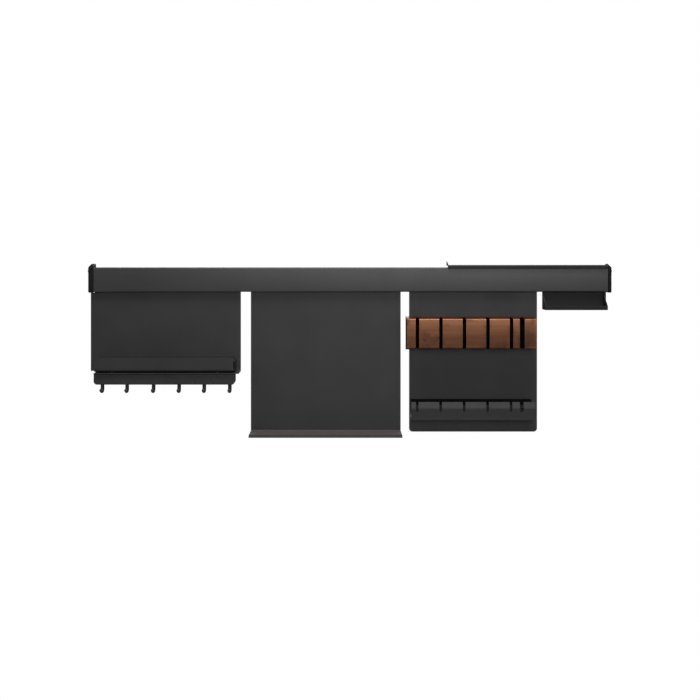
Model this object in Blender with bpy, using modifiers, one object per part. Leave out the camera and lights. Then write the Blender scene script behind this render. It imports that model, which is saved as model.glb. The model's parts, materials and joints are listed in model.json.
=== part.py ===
"""Wall styling station: a slotted tool rail with four hang-on modules and a small top shelf.

Frame: metres. X runs along the rail, -Y faces the user, +Z is up. The origin is the middle of the
rail's wall face, so the wall is the plane y = 0.
"""
import math

import bmesh
import bpy

# ---------------------------------------------------------------- driving dimensions (metres)
RAIL_LENGTH = 1.200
CAP_LEFT = 0.012             # thickness of the left end cap
CAP_RIGHT = 0.008
CAP_TOP_FRONT = 0.0300       # the caps rise towards the wall
CAP_TOP_BACK = 0.0370
CAP_BOTTOM = -0.0298
CAP_FRONT = -0.0315
RUN = 0.0003                 # gap between pieces that touch

WEB_THICKNESS = 0.003
CHANNEL_TOP = 0.0255
CHANNEL_BOTTOM = -0.026
LIP_FRONT = -0.0135          # the upright lip that every module hooks over
LIP_BACK = -0.011
LIP_TOP = 0.012
LIP_SHELF_TOP = 0.0025

FASCIA_Y = -0.029            # middle of the 2 mm cover sheet
FASCIA_HALF_HEIGHT = 0.027
FASCIA_SHEET = 0.002

SHEET = 0.0015               # steel sheet of the modules
BEND = 0.0025                # bend radius at the middle of the sheet
PANEL_Y = -0.017             # middle of the panel sheets
PANEL_FRONT = PANEL_Y - SHEET / 2
PANEL_BACK = PANEL_Y + SHEET / 2
HOOK_TOP = 0.01535           # middle of the fold that passes over the lip
HOOK_BACK = -0.00765
HOOK_END = 0.0055
TAB_INSET = 0.010            # the hook is narrower than its panel

GLIDE_LENGTH = 0.040
GLIDE_WALL = 0.002
BUFFER_RADIUS = 0.009

# Module 1: panel with a lift-out tray and loose hooks
TRAY_PANEL_X = (-0.5968, -0.2510)
TRAY_PANEL_SHOULDER = -0.0302
TRAY_CENTRE = -0.4198
SHELF_LEFT = -0.5780         # the shelf plate is shorter than its panel at the left
SHELF_Z = -0.2100
SHELF_FRONT = -0.0720
TRAY_WIDTH = 0.316
TRAY_TOP = -0.1752
TRAY_BOTTOM = -0.2073
TRAY_FRONT = -0.0700
TRAY_BACK = -0.0185
TRAY_CORNER = 0.008
TRAY_BEND = 0.0070
HOOK_RAIL_WIDTH = 0.319
HOOK_RAIL_BOTTOM = -0.2362
HOOK_RAIL_FRONT = -0.0660
HOOK_RAIL_BACK = -0.0420
HOOK_RAIL_LIP = 0.0065
HOOK_RAIL_CORNER = 0.008
HOOK_WIRE = 0.0085           # diameter of the round bar of the hooks
HOOK_BEND = 0.0060
HOOK_STEM_Y = -0.0540
HOOK_CORNER_Z = -0.2547      # where the lines of stem and foot meet
HOOK_FOOT_LENGTH = 0.0182
HOOK_FOOT_RISE = 25.0        # degrees
HOOK_HEAD_HALF = 0.0095      # half the head's depth; it rides on the rail's two lips
HOOK_PLACES = (-0.142, -0.086, -0.026, 0.032, 0.089, 0.147)
END_PLUG = 0.003

# Module 2: ledge panel
LEDGE_PANEL_X = (-0.2280, 0.1173)
LEDGE_TOP = -0.3460
LEDGE_FRONT = -0.0830
LEDGE_LIP_BOTTOM = -0.3528
LEDGE_LINER = 0.0015

# Module 3: tool rack panel
RACK_PANEL_X = (0.1367, 0.4315)
RACK_PANEL_BOTTOM = -0.3505
RACK_CORNER = 0.008
RACK_X = (0.1285, 0.4208)    # the rack cover stands off to the left of its panel
RACK_TOP_BACK = -0.0840
RACK_TOP_FRONT = -0.0866
RACK_FRONT = -0.0680
RACK_FACE_BOTTOM = -0.1490
RACK_TURN = (0.0040, 0.0045) # how far the face turns back, and down, before the underside
RACK_BOTTOM = -0.1610
RACK_FLANGE = 0.012
RACK_LINER_FRONT = -0.0240   # foam rubber that hides and cushions the rack's back
RACK_LINER_TOP = -0.0885
RACK_LINER_BOTTOM = -0.1570
SLOT_FIRST = 0.1520
SLOT_PITCH = 0.0531
SLOT_COUNT = 5
SLOT_WIDTH = 0.0083
WIDE_SLOT_X = 0.3887
WIDE_SLOT_WIDTH = 0.0115
SLOT_BOTTOM = -0.1650         # below the rack, so each slot runs out through its underside
SLOT_BACK = -0.0300
GUIDE_X = (0.1388, 0.4195)
GUIDE_TOP = -0.2764
GUIDE_FRONT = -0.0660
GUIDE_BOTTOM = -0.3210
GUIDE_BEND = 0.0180
GUIDE_CHEST = -0.2925        # the trough's lip leans back above this height, its belly below it
GUIDE_LEAN = 0.0050
GUIDE_BELLY = 0.0120
GUIDE_SLOT_BOTTOM = -0.2990
GUIDE_SLOT_WIDTH = 0.006
GUIDE_WIDE_SLOT_WIDTH = 0.0085
GUIDE_BACK_DROP = 0.0120     # the trough's back ends lower than its lip
GUIDE_LINER_TOP = -0.2750    # rubber strip above that, behind the lip

# Module 4: small clip tray
CLIP_TRAY_X = (0.4435, 0.5905)
CLIP_BOX_RIGHT = 0.5850      # the tray's floor is shorter than its back panel at the right
CLIP_CHEEK_TOP = -0.0302
CLIP_TRAY_BOTTOM = -0.0682
CLIP_TRAY_LIP = -0.0586
CLIP_TRAY_FRONT = -0.0560
CLIP_TAB_RIGHT = 0.5895

# Top shelf
TOP_SHELF_X = (0.2245, 0.5905)
TOP_SHELF_Z = 0.0334
TOP_SHELF_FRONT = -0.0345
TOP_SHELF_BACK = -0.0010
TOP_SHELF_LIP_BOTTOM = 0.0250
TAB_RISE = 0.0080

PARTS = "wall_styling_station"


# ---------------------------------------------------------------- scene and materials
def clear_scene():
    for obj in list(bpy.data.objects):
        bpy.data.objects.remove(obj, do_unlink=True)


def new_collection(name):
    collection = bpy.data.collections.new(name)
    bpy.context.scene.collection.children.link(collection)
    return collection


clear_scene()
parts = new_collection(PARTS)
cutters = new_collection("cutters")
guides = new_collection("guides")

FINISHES = {
    "black_powder_coat": ((0.045, 0.045, 0.047), 0.55, 0.0),
    "black_cover_coat": ((0.060, 0.060, 0.060), 0.50, 0.0),
    "brushed_copper": ((0.300, 0.120, 0.060), 0.35, 1.0),
    "black_nylon": ((0.020, 0.020, 0.020), 0.60, 0.0),
    "white_nylon": ((0.600, 0.600, 0.580), 0.50, 0.0),
    "black_rubber": ((0.015, 0.015, 0.015), 0.85, 0.0),
    "brown_liner": ((0.060, 0.040, 0.035), 0.70, 0.0),
    "zinc_steel": ((0.550, 0.550, 0.560), 0.35, 1.0),
}


def make_finish(name):
    """A Principled material for one of the FINISHES, made once."""
    found = bpy.data.materials.get(name)
    if found:
        return found
    colour, roughness, metallic = FINISHES[name]
    material = bpy.data.materials.new(name)
    material.use_nodes = True
    shader = material.node_tree.nodes["Principled BSDF"]
    shader.inputs["Base Color"].default_value = (*colour, 1.0)
    shader.inputs["Roughness"].default_value = roughness
    shader.inputs["Metallic"].default_value = metallic
    return material


# ---------------------------------------------------------------- modelling helpers
def place(obj, finish):
    """Link an object to the parts, or to the cutters when it has no finish."""
    for collection in obj.users_collection:
        collection.objects.unlink(obj)
    if finish is None:
        cutters.objects.link(obj)
        obj.hide_render = True
        obj.display_type = "WIRE"
        return obj
    parts.objects.link(obj)
    obj.data.materials.clear()
    obj.data.materials.append(make_finish(finish))
    obj.data.set_sharp_from_angle(angle=math.radians(35))
    return obj


def bevel(obj, width, segments=2):
    """Round an object's sharp edges."""
    modifier = obj.modifiers.new("rounded", "BEVEL")
    modifier.width = width
    modifier.segments = segments
    modifier.limit_method = "ANGLE"
    modifier.angle_limit = math.radians(40)
    return obj


def cut(target, cutter):
    modifier = target.modifiers.new("cut " + cutter.name, "BOOLEAN")
    modifier.operation = "DIFFERENCE"
    modifier.solver = "EXACT"
    modifier.object = cutter


def join(target, piece):
    modifier = target.modifiers.new("join " + piece.name, "BOOLEAN")
    modifier.operation = "UNION"
    modifier.solver = "EXACT"
    modifier.object = piece


def box(name, low, high, finish=None, edge=0.0, segments=2):
    """A block between two corners, its edges rounded."""
    centre = [(a + b) / 2 for a, b in zip(low, high)]
    bpy.ops.mesh.primitive_cube_add(size=1.0, location=centre)
    obj = bpy.context.object
    obj.name = name
    obj.scale = [b - a for a, b in zip(low, high)]
    bpy.ops.object.transform_apply(location=False, rotation=False, scale=True)
    if edge:
        bevel(obj, edge, segments)
    return place(obj, finish)


AXIS_TURN = {"X": (0, math.pi / 2, 0), "Y": (math.pi / 2, 0, 0), "Z": (0, 0, 0)}


def rod(name, centre, axis, radius, length, finish=None, sides=16, edge=0.0):
    """A round bar along one axis, about its centre."""
    bpy.ops.mesh.primitive_cylinder_add(
        vertices=sides, radius=radius, depth=length, location=centre, rotation=AXIS_TURN[axis])
    obj = bpy.context.object
    obj.name = name
    if edge:
        bevel(obj, edge)
    return place(obj, finish)


def rounded_path(points, radius, steps=3):
    """The points of an open path with an arc in place of each inner corner."""
    path = [points[0]]
    for before, corner, after in zip(points, points[1:], points[2:]):
        back = [b - c for b, c in zip(before, corner)]
        ahead = [a - c for a, c in zip(after, corner)]
        back_length = math.hypot(*back)
        ahead_length = math.hypot(*ahead)
        back = [v / back_length for v in back]
        ahead = [v / ahead_length for v in ahead]
        half_angle = math.acos(sum(b * a for b, a in zip(back, ahead))) / 2
        trim = radius / math.tan(half_angle)
        middle = [b + a for b, a in zip(back, ahead)]
        middle_length = math.hypot(*middle)
        reach = radius / math.sin(half_angle)
        centre = [c + m / middle_length * reach for c, m in zip(corner, middle)]
        start = [c + b * trim for c, b in zip(corner, back)]
        end = [c + a * trim for c, a in zip(corner, ahead)]
        first = math.atan2(start[1] - centre[1], start[0] - centre[0])
        last = math.atan2(end[1] - centre[1], end[0] - centre[0])
        turn = (last - first + math.pi) % (2 * math.pi) - math.pi
        for step in range(steps + 1):
            angle = first + turn * step / steps
            path.append((centre[0] + radius * math.cos(angle), centre[1] + radius * math.sin(angle)))
    path.append(points[-1])
    return path


def section_curve(name, points, x_low, x_high, closed):
    """A mesh swept along X from a (y, z) section: filled if it is closed, a ribbon if it is open."""
    curve = bpy.data.curves.new(name, "CURVE")
    curve.dimensions = "2D"
    curve.fill_mode = "BOTH" if closed else "NONE"
    curve.extrude = (x_high - x_low) / 2
    spline = curve.splines.new("POLY")
    spline.points.add(len(points) - 1)
    for point, (y, z) in zip(spline.points, points):
        point.co = (y, z, 0.0, 1.0)
    spline.use_cyclic_u = closed
    guide = bpy.data.objects.new(name + "_section", curve)
    guide.rotation_euler = (math.pi / 2, 0.0, math.pi / 2)
    guide.location = ((x_low + x_high) / 2, 0.0, 0.0)
    guides.objects.link(guide)
    bpy.context.view_layer.update()
    evaluated = guide.evaluated_get(bpy.context.evaluated_depsgraph_get())
    mesh = bpy.data.meshes.new_from_object(evaluated)
    mesh.name = name
    shell = bmesh.new()
    shell.from_mesh(mesh)
    bmesh.ops.remove_doubles(shell, verts=shell.verts, dist=0.00001)
    shell.to_mesh(mesh)
    shell.free()
    obj = bpy.data.objects.new(name, mesh)
    obj.matrix_world = guide.matrix_world.copy()
    bpy.data.objects.remove(guide, do_unlink=True)
    return obj


def extrusion(name, outline, x_low, x_high, finish=None):
    """A solid bar with a (y, z) outline."""
    return place(section_curve(name, outline, x_low, x_high, closed=True), finish)


def folded(name, points, x_low, x_high, finish, thickness=SHEET, bend=BEND, steps=3):
    """Sheet metal bent to a (y, z) path through the middle of its thickness."""
    path = rounded_path(points, bend, steps)
    obj = place(section_curve(name, path, x_low, x_high, closed=False), finish)
    sheet = obj.modifiers.new("sheet", "SOLIDIFY")
    sheet.thickness = thickness
    sheet.offset = 0.0
    sheet.use_even_offset = True
    return obj


def round_bar(name, x, points, radius, bend, finish):
    """A round bar bent to a (y, z) path at one X, its far end domed."""
    path = rounded_path(points, bend, 5)
    centre_line = bpy.data.curves.new(name, "CURVE")
    centre_line.dimensions = "3D"
    centre_line.bevel_depth = radius
    centre_line.bevel_resolution = 2
    centre_line.use_fill_caps = True
    dome = [(1.0, 0.0), (0.87, 0.5), (0.5, 0.87), (0.12, 0.99)]
    (y_before, z_before), (y_end, z_end) = path[-2:]
    run = math.hypot(y_end - y_before, z_end - z_before)
    y_step, z_step = (y_end - y_before) / run * radius, (z_end - z_before) / run * radius
    path = path[:-1] + [(y_end - y_step * (1 - rise), z_end - z_step * (1 - rise)) for _, rise in dome]
    sizes = [1.0] * (len(path) - len(dome)) + [size for size, _ in dome]
    spline = centre_line.splines.new("POLY")
    spline.points.add(len(path) - 1)
    for point, (y, z), size in zip(spline.points, path, sizes):
        point.co = (x, y, z, 1.0)
        point.radius = size
    guide = bpy.data.objects.new(name + "_line", centre_line)
    guides.objects.link(guide)
    bpy.context.view_layer.update()
    evaluated = guide.evaluated_get(bpy.context.evaluated_depsgraph_get())
    mesh = bpy.data.meshes.new_from_object(evaluated)
    mesh.name = name
    skin = bmesh.new()
    skin.from_mesh(mesh)
    bmesh.ops.remove_doubles(skin, verts=skin.verts, dist=0.00001)
    bmesh.ops.recalc_face_normals(skin, faces=skin.faces)
    skin.to_mesh(mesh)
    skin.free()
    bpy.data.objects.remove(guide, do_unlink=True)
    return place(bpy.data.objects.new(name, mesh), finish)


def round_corners(prefix, targets, x_edges, edge_z, radius, y_low, y_high, upwards):
    """Round the corners where vertical edges at x_edges meet the horizontal edge at edge_z."""
    for side, word, edge_x in ((-1, "left", x_edges[0]), (1, "right", x_edges[1])):
        low_x = edge_x - (0.010 if side < 0 else radius)
        high_x = edge_x + (radius if side < 0 else 0.010)
        middle_z = edge_z - radius if upwards else edge_z + radius
        low_z = middle_z if upwards else edge_z - 0.010
        high_z = edge_z + 0.010 if upwards else middle_z
        corner = box(f"{prefix}_corner_{word}", (low_x, y_low, low_z), (high_x, y_high, high_z))
        round_in = rod(f"{prefix}_round_{word}", (edge_x - side * radius, (y_low + y_high) / 2, middle_z),
                       "Y", radius, (y_high - y_low) * 1.5, sides=32)
        cut(corner, round_in)
        for target in targets:
            cut(target, corner)


def screw(name, centre, axis, head_side, shank_length, finish="zinc_steel"):
    """A pan-head screw or rivet: head centre, the axis, and which way the head points."""
    head_height = 0.0018
    offset = [0.0, 0.0, 0.0]
    index = "XYZ".index(axis)
    offset[index] = -head_side * (shank_length / 2)
    head = rod(name, centre, axis, 0.0036, head_height, finish, sides=14, edge=0.0005)
    shank_centre = [c + o for c, o in zip(centre, offset)]
    shank = rod(name + "_shank", shank_centre, axis, 0.0016, shank_length, sides=10)
    join(head, shank)
    return head


def body_empty(name, location, members):
    """An empty that carries the pieces of one moving body."""
    empty = bpy.data.objects.new(name, None)
    empty.location = location
    parts.objects.link(empty)
    bpy.context.view_layer.update()
    for obj in members:
        obj.parent = empty
        obj.matrix_parent_inverse = empty.matrix_world.inverted()
    return empty


# ---------------------------------------------------------------- the rail
LEFT_INNER = -RAIL_LENGTH / 2 + CAP_LEFT     # where the channel and its cover end
RIGHT_INNER = RAIL_LENGTH / 2 - CAP_RIGHT
WALL_SCREW_PLACES = (-0.52, -0.18, 0.18, 0.52)
WALL_SCREW_Z = -0.0170
UPPER_BOSS = (-0.0243, 0.0197)               # (y, z) of the two screw bosses in the channel
LOWER_BOSS = (-0.0063, -0.0045)


def channel_outline():
    """Back web, top flange with a screw boss, and the J-shaped lip with a second boss under it."""
    web = -WEB_THICKNESS
    flange_front = FASCIA_Y + FASCIA_SHEET / 2 + RUN
    return [
        (0.0, CHANNEL_BOTTOM), (web, CHANNEL_BOTTOM), (web, -0.0088), (-0.0096, -0.0088), (-0.0096, 0.0),
        (LIP_FRONT, 0.0), (LIP_FRONT, LIP_TOP), (LIP_BACK, LIP_TOP), (LIP_BACK, LIP_SHELF_TOP),
        (web, LIP_SHELF_TOP), (web, 0.0230), (-0.0210, 0.0230), (-0.0210, 0.0160),
        (flange_front, 0.0160), (flange_front, CHANNEL_TOP), (0.0, CHANNEL_TOP)]


def make_wall_screws(channel):
    for index, x in enumerate(WALL_SCREW_PLACES, start=1):
        hole = rod(f"wall_hole_{index}", (x, -WEB_THICKNESS / 2, WALL_SCREW_Z), "Y", 0.0029, 0.008)
        cut(channel, hole)
        head_y = -WEB_THICKNESS - RUN - 0.0014
        head = rod(f"wall_screw_{index}", (x, head_y, WALL_SCREW_Z), "Y", 0.0048, 0.0028,
                   "zinc_steel", sides=16, edge=0.0008)
        shank_length = -head_y - RUN
        shank = rod(f"wall_shank_{index}", (x, head_y + shank_length / 2, WALL_SCREW_Z), "Y",
                    0.0025, shank_length, sides=12)
        join(head, shank)


def make_caps(channel):
    side_outline = [
        (0.0, CAP_BOTTOM), (CAP_FRONT, CAP_BOTTOM), (CAP_FRONT, CAP_TOP_FRONT), (0.0, CAP_TOP_BACK)]
    for side, word, inner in ((-1, "left", LEFT_INNER), (1, "right", RIGHT_INNER)):
        near = inner + side * RUN
        outer = side * RAIL_LENGTH / 2
        cap = extrusion(f"end_cap_{word}", side_outline, min(near, outer), max(near, outer), "black_nylon")
        bevel(cap, 0.0020)
        for (y, z), level in ((UPPER_BOSS, "upper"), (LOWER_BOSS, "lower")):
            hole = rod(f"cap_hole_{word}_{level}", (inner - side * 0.004, y, z), "X", 0.0020, 0.044,
                       sides=12)
            cut(cap, hole)
            cut(channel, hole)
            head_x = side * (RAIL_LENGTH / 2 + RUN + 0.0009)
            screw(f"cap_screw_{word}_{level}", (head_x, y, z), "X", side, 0.020)


def make_rail():
    channel = extrusion("rail_channel", channel_outline(), LEFT_INNER, RIGHT_INNER, "black_powder_coat")
    fascia_path = [
        (-0.0035, FASCIA_HALF_HEIGHT), (FASCIA_Y, FASCIA_HALF_HEIGHT),
        (FASCIA_Y, -FASCIA_HALF_HEIGHT), (FASCIA_Y + 0.006, -FASCIA_HALF_HEIGHT)]
    folded("rail_fascia", fascia_path, LEFT_INNER, RIGHT_INNER, "black_cover_coat",
           thickness=FASCIA_SHEET, bend=0.002)
    make_wall_screws(channel)
    make_caps(channel)


# ---------------------------------------------------------------- what every module shares
def hook_path():
    """The fold over the rail's lip, from behind the lip to the front of the panel."""
    return [(HOOK_BACK, HOOK_END), (HOOK_BACK, HOOK_TOP), (PANEL_Y, HOOK_TOP)]


def trim_tab(panel, tab_low, tab_high, left_shoulder=-0.0200):
    """Cut the panel's top back at both sides, so that only the hook tab enters the rail."""
    x_low, x_high = -0.70, 0.70
    left = box(panel.name + "_trim_left", (x_low, -0.030, left_shoulder), (tab_low, 0.0, 0.030))
    right = box(panel.name + "_trim_right", (tab_high, -0.030, -0.0200), (x_high, 0.0, 0.030))
    cut(panel, left)
    cut(panel, right)


def glide(name, x_low, length=GLIDE_LENGTH):
    """A nylon saddle inside the hook that runs on the rail's lip."""
    inner_front = LIP_FRONT - RUN
    inner_back = LIP_BACK + RUN
    top = LIP_TOP + RUN
    foot = 0.0045
    chamfer = 0.0014
    crown = top + GLIDE_WALL
    outline = [
        (inner_front - GLIDE_WALL, foot), (inner_front, foot), (inner_front, top), (inner_back, top),
        (inner_back, foot), (inner_back + GLIDE_WALL, foot), (inner_back + GLIDE_WALL, crown - chamfer),
        (inner_back + GLIDE_WALL - chamfer, crown), (inner_front - GLIDE_WALL + chamfer, crown),
        (inner_front - GLIDE_WALL, crown - chamfer)]
    return extrusion(name, outline, x_low, x_low + length, "white_nylon")


def wall_buffer(name, x, z, radius=BUFFER_RADIUS):
    """A rubber foot between the panel and the wall."""
    back = -RUN
    front = PANEL_BACK + RUN
    return rod(name, (x, (front + back) / 2, z), "Y", radius, back - front, "black_rubber", 20, edge=0.0012)


def glide_pair(prefix, tab_low, tab_high):
    return [glide(prefix + "_glide_left", tab_low + 0.004),
            glide(prefix + "_glide_right", tab_high - 0.004 - GLIDE_LENGTH)]


def buffer_pair(prefix, x_range, z, inset=0.030):
    return [wall_buffer(prefix + "_buffer_left", x_range[0] + inset, z),
            wall_buffer(prefix + "_buffer_right", x_range[1] - inset, z)]


# ---------------------------------------------------------------- module 1: tray and hooks
def tray_shell(centre):
    """The lift-out tray: sheet folded up at front and back, with two end walls joined to it."""
    half = TRAY_WIDTH / 2
    front = TRAY_FRONT + SHEET / 2
    back = TRAY_BACK - SHEET / 2
    floor = TRAY_BOTTOM + SHEET / 2
    path = [(back, TRAY_TOP), (back, floor), (front, floor), (front, TRAY_TOP)]
    tray = folded("lift_out_tray", path, centre - half, centre + half, "black_powder_coat",
                  bend=TRAY_BEND, steps=5)
    end_path = [(TRAY_BACK, TRAY_TOP - TRAY_CORNER), (TRAY_BACK, TRAY_BOTTOM), (TRAY_FRONT, TRAY_BOTTOM),
                (TRAY_FRONT, TRAY_TOP - TRAY_CORNER)]
    outline = rounded_path(end_path, TRAY_BEND + SHEET / 2, 5)
    for x, word in ((centre - half, "left"), (centre + half - SHEET, "right")):
        join(tray, extrusion(f"tray_end_{word}", outline, x, x + SHEET))
    round_corners("tray", [tray], (centre - half, centre + half), TRAY_TOP, TRAY_CORNER,
                  TRAY_FRONT - 0.01, TRAY_BACK + 0.01, upwards=True)
    return tray


def make_hook_rail(centre):
    """The C-shaped rail under the shelf plate, its end plugs and its rivets."""
    top = SHELF_Z - SHEET / 2 - RUN
    half = HOOK_RAIL_WIDTH / 2
    front = HOOK_RAIL_FRONT + SHEET / 2
    back = HOOK_RAIL_BACK - SHEET / 2
    floor = HOOK_RAIL_BOTTOM + SHEET / 2
    roof = top - SHEET / 2
    path = [(front + HOOK_RAIL_LIP, floor), (front, floor), (front, roof), (back, roof), (back, floor),
            (back - HOOK_RAIL_LIP, floor)]
    rail = folded("hook_rail", path, centre - half, centre + half, "black_powder_coat", bend=0.002)
    members = [rail]
    rivets = []
    for side, word in ((-1, "left"), (1, "right")):
        end = centre + side * half
        plug_outer = end - side * 0.0005
        plug_inner = plug_outer - side * END_PLUG
        low = (min(plug_outer, plug_inner), HOOK_RAIL_FRONT + SHEET + RUN, HOOK_RAIL_BOTTOM + SHEET + RUN)
        high = (max(plug_outer, plug_inner), HOOK_RAIL_BACK - SHEET - RUN, top - SHEET - RUN)
        members.append(box(f"hook_rail_plug_{word}", low, high, "black_nylon", edge=0.0014, segments=1))
        rivet_x = end - side * 0.040
        rivet_y = (HOOK_RAIL_FRONT + HOOK_RAIL_BACK) / 2
        hole = rod(f"strip_hole_{word}", (rivet_x, rivet_y, top), "Z", 0.0019, 0.012, sides=12)
        cut(rail, hole)
        head_z = SHELF_Z + SHEET / 2 + RUN + 0.0005
        head = rod(f"hook_rail_rivet_{word}", (rivet_x, rivet_y, head_z), "Z", 0.0034, 0.0010,
                   "zinc_steel", sides=14)
        shank = rod(f"strip_shank_{word}", (rivet_x, rivet_y, head_z - 0.0025), "Z", 0.0016, 0.0050,
                    sides=10)
        join(head, shank)
        rivets.append(head)
    round_corners("hook_rail", members, (centre - half, centre + half), HOOK_RAIL_BOTTOM, HOOK_RAIL_CORNER,
                  HOOK_RAIL_FRONT - 0.01, HOOK_RAIL_BACK + 0.01, upwards=False)
    return members + rivets


def make_hook(index, x):
    """One loose hook: a flat head that rides in the hook rail and a round bar with a rising foot."""
    seat = HOOK_RAIL_BOTTOM + SHEET + RUN
    rise = math.radians(HOOK_FOOT_RISE)
    tip = (HOOK_STEM_Y - HOOK_FOOT_LENGTH * math.cos(rise),
           HOOK_CORNER_Z + HOOK_FOOT_LENGTH * math.sin(rise))
    path = [(HOOK_STEM_Y, seat + 0.0018), (HOOK_STEM_Y, HOOK_CORNER_Z), tip]
    hook = round_bar(f"hook_{index}", x, path, HOOK_WIRE / 2, HOOK_BEND, "black_powder_coat")
    head = box(f"hook_head_{index}", (x - 0.0050, HOOK_STEM_Y - HOOK_HEAD_HALF, seat),
               (x + 0.0050, HOOK_STEM_Y + HOOK_HEAD_HALF, seat + 0.0035))
    join(hook, head)
    return hook


def make_tray_module():
    panel = folded(
        "tray_panel", hook_path() + [(PANEL_Y, SHELF_Z), (SHELF_FRONT, SHELF_Z)],
        *TRAY_PANEL_X, "black_powder_coat")
    tab_low = LEFT_INNER + 0.0002
    tab_high = TRAY_PANEL_X[1] - TAB_INSET
    trim_tab(panel, tab_low, tab_high, left_shoulder=TRAY_PANEL_SHOULDER)
    cut(panel, box("shelf_trim", (TRAY_PANEL_X[0] - 0.01, SHELF_FRONT - 0.01, SHELF_Z - 0.01),
                   (SHELF_LEFT, PANEL_FRONT - 0.0004, SHELF_Z + 0.01)))
    members = [panel]
    for side, word in ((-1, "left"), (1, "right")):
        hole_x = TRAY_CENTRE + side * (HOOK_RAIL_WIDTH / 2 - 0.040)
        hole = rod(f"plate_hole_{word}", (hole_x, (HOOK_RAIL_FRONT + HOOK_RAIL_BACK) / 2, SHELF_Z), "Z",
                   0.0019, 0.010, sides=12)
        cut(panel, hole)
    members += glide_pair("tray_panel", tab_low, tab_high)
    members += buffer_pair("tray_panel", TRAY_PANEL_X, -0.188)
    members += make_hook_rail(TRAY_CENTRE)
    body_empty("tray_module_frame", (TRAY_CENTRE, LIP_FRONT, LIP_TOP), members)

    tray = tray_shell(TRAY_CENTRE)
    inset = SHEET + 0.0010
    half = TRAY_WIDTH / 2
    mat = box("tray_mat",
              (TRAY_CENTRE - half + inset, TRAY_FRONT + 0.0072, TRAY_BOTTOM + SHEET + RUN),
              (TRAY_CENTRE + half - inset, TRAY_BACK - 0.0072, TRAY_BOTTOM + SHEET + RUN + 0.0015),
              "black_rubber")
    body_empty("tray_frame", (TRAY_CENTRE, (TRAY_FRONT + TRAY_BACK) / 2, TRAY_BOTTOM), [tray, mat])

    for index, place_x in enumerate(HOOK_PLACES, start=1):
        x = TRAY_CENTRE + place_x
        body_empty(f"hook_{index}_frame", (x, HOOK_STEM_Y, HOOK_RAIL_BOTTOM), [make_hook(index, x)])


# ---------------------------------------------------------------- module 2: ledge
def make_ledge_module():
    plate = LEDGE_TOP - LEDGE_LINER - RUN - SHEET / 2
    front = LEDGE_FRONT + SHEET / 2
    panel = folded(
        "ledge_panel",
        hook_path() + [(PANEL_Y, plate), (front, plate), (front, LEDGE_LIP_BOTTOM)],
        *LEDGE_PANEL_X, "black_powder_coat", bend=0.0016)
    tab = (LEDGE_PANEL_X[0] + TAB_INSET, LEDGE_PANEL_X[1] - TAB_INSET)
    trim_tab(panel, *tab)
    liner = box("ledge_liner",
                (LEDGE_PANEL_X[0] + 0.0006, LEDGE_FRONT + 0.0012, LEDGE_TOP - LEDGE_LINER),
                (LEDGE_PANEL_X[1] - 0.0006, PANEL_FRONT - 0.0015, LEDGE_TOP), "brown_liner")
    members = [panel, liner]
    members += glide_pair("ledge_panel", *tab)
    members += buffer_pair("ledge_panel", LEDGE_PANEL_X, -0.325)
    body_empty("ledge_module_frame", (sum(LEDGE_PANEL_X) / 2, LIP_FRONT, LIP_TOP), members)


# ---------------------------------------------------------------- module 3: slotted tool rack
def slot_places():
    """Centre and width of each tool slot, from left to right."""
    places = [(SLOT_FIRST + SLOT_PITCH * index, SLOT_WIDTH, GUIDE_SLOT_WIDTH)
              for index in range(SLOT_COUNT)]
    places.append((WIDE_SLOT_X, WIDE_SLOT_WIDTH, GUIDE_WIDE_SLOT_WIDTH))
    return places


def make_rack_cover():
    """The copper-coloured cover: folded sheet with closed ends and six slots."""
    flange_y = PANEL_FRONT - RUN - SHEET / 2
    front = RACK_FRONT + SHEET / 2
    turn = (front + RACK_TURN[0], RACK_FACE_BOTTOM - RACK_TURN[1])
    path = [(flange_y, RACK_TOP_BACK - RACK_FLANGE), (flange_y, RACK_TOP_BACK - SHEET / 2),
            (front, RACK_TOP_FRONT - SHEET / 2), (front, RACK_FACE_BOTTOM), turn,
            (flange_y, RACK_BOTTOM), (flange_y, RACK_BOTTOM + RACK_FLANGE + 0.004)]
    cover = folded("rack_cover", path, *RACK_X, "brushed_copper", bend=0.003)
    end_path = [(flange_y, RACK_TOP_BACK - SHEET), (front, RACK_TOP_FRONT - SHEET),
                (front, RACK_FACE_BOTTOM), turn, (flange_y, RACK_BOTTOM + SHEET)]
    for x, word in ((RACK_X[0], "left"), (RACK_X[1] - SHEET, "right")):
        join(cover, extrusion(f"rack_end_{word}", end_path, x, x + SHEET))
    for index, (x, width, _) in enumerate(slot_places(), start=1):
        slot = box(f"rack_slot_{index}", (x - width / 2, RACK_FRONT - 0.020, SLOT_BOTTOM),
                   (x + width / 2, SLOT_BACK, RACK_TOP_BACK + 0.020), edge=width * 0.46, segments=3)
        cut(cover, slot)
    return cover


def make_guide():
    """The lower trough: a gutter whose front lip has a slot under each slot of the rack."""
    back = PANEL_FRONT - RUN - SHEET / 2
    front = GUIDE_FRONT + SHEET / 2
    floor = GUIDE_BOTTOM + SHEET / 2
    path = [(back, GUIDE_TOP - GUIDE_BACK_DROP), (back, floor), (front + GUIDE_BELLY, floor),
            (front, GUIDE_CHEST), (front + GUIDE_LEAN, GUIDE_TOP)]
    guide = folded("guide_trough", path, *GUIDE_X, "black_powder_coat", bend=GUIDE_BEND, steps=8)
    for index, (x, _, width) in enumerate(slot_places(), start=1):
        slot = box(f"guide_slot_{index}", (x - width / 2, GUIDE_FRONT - 0.010, GUIDE_SLOT_BOTTOM),
                   (x + width / 2, GUIDE_FRONT + 0.009, GUIDE_TOP + 0.020), edge=width * 0.46, segments=2)
        cut(guide, slot)
    return guide


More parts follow.
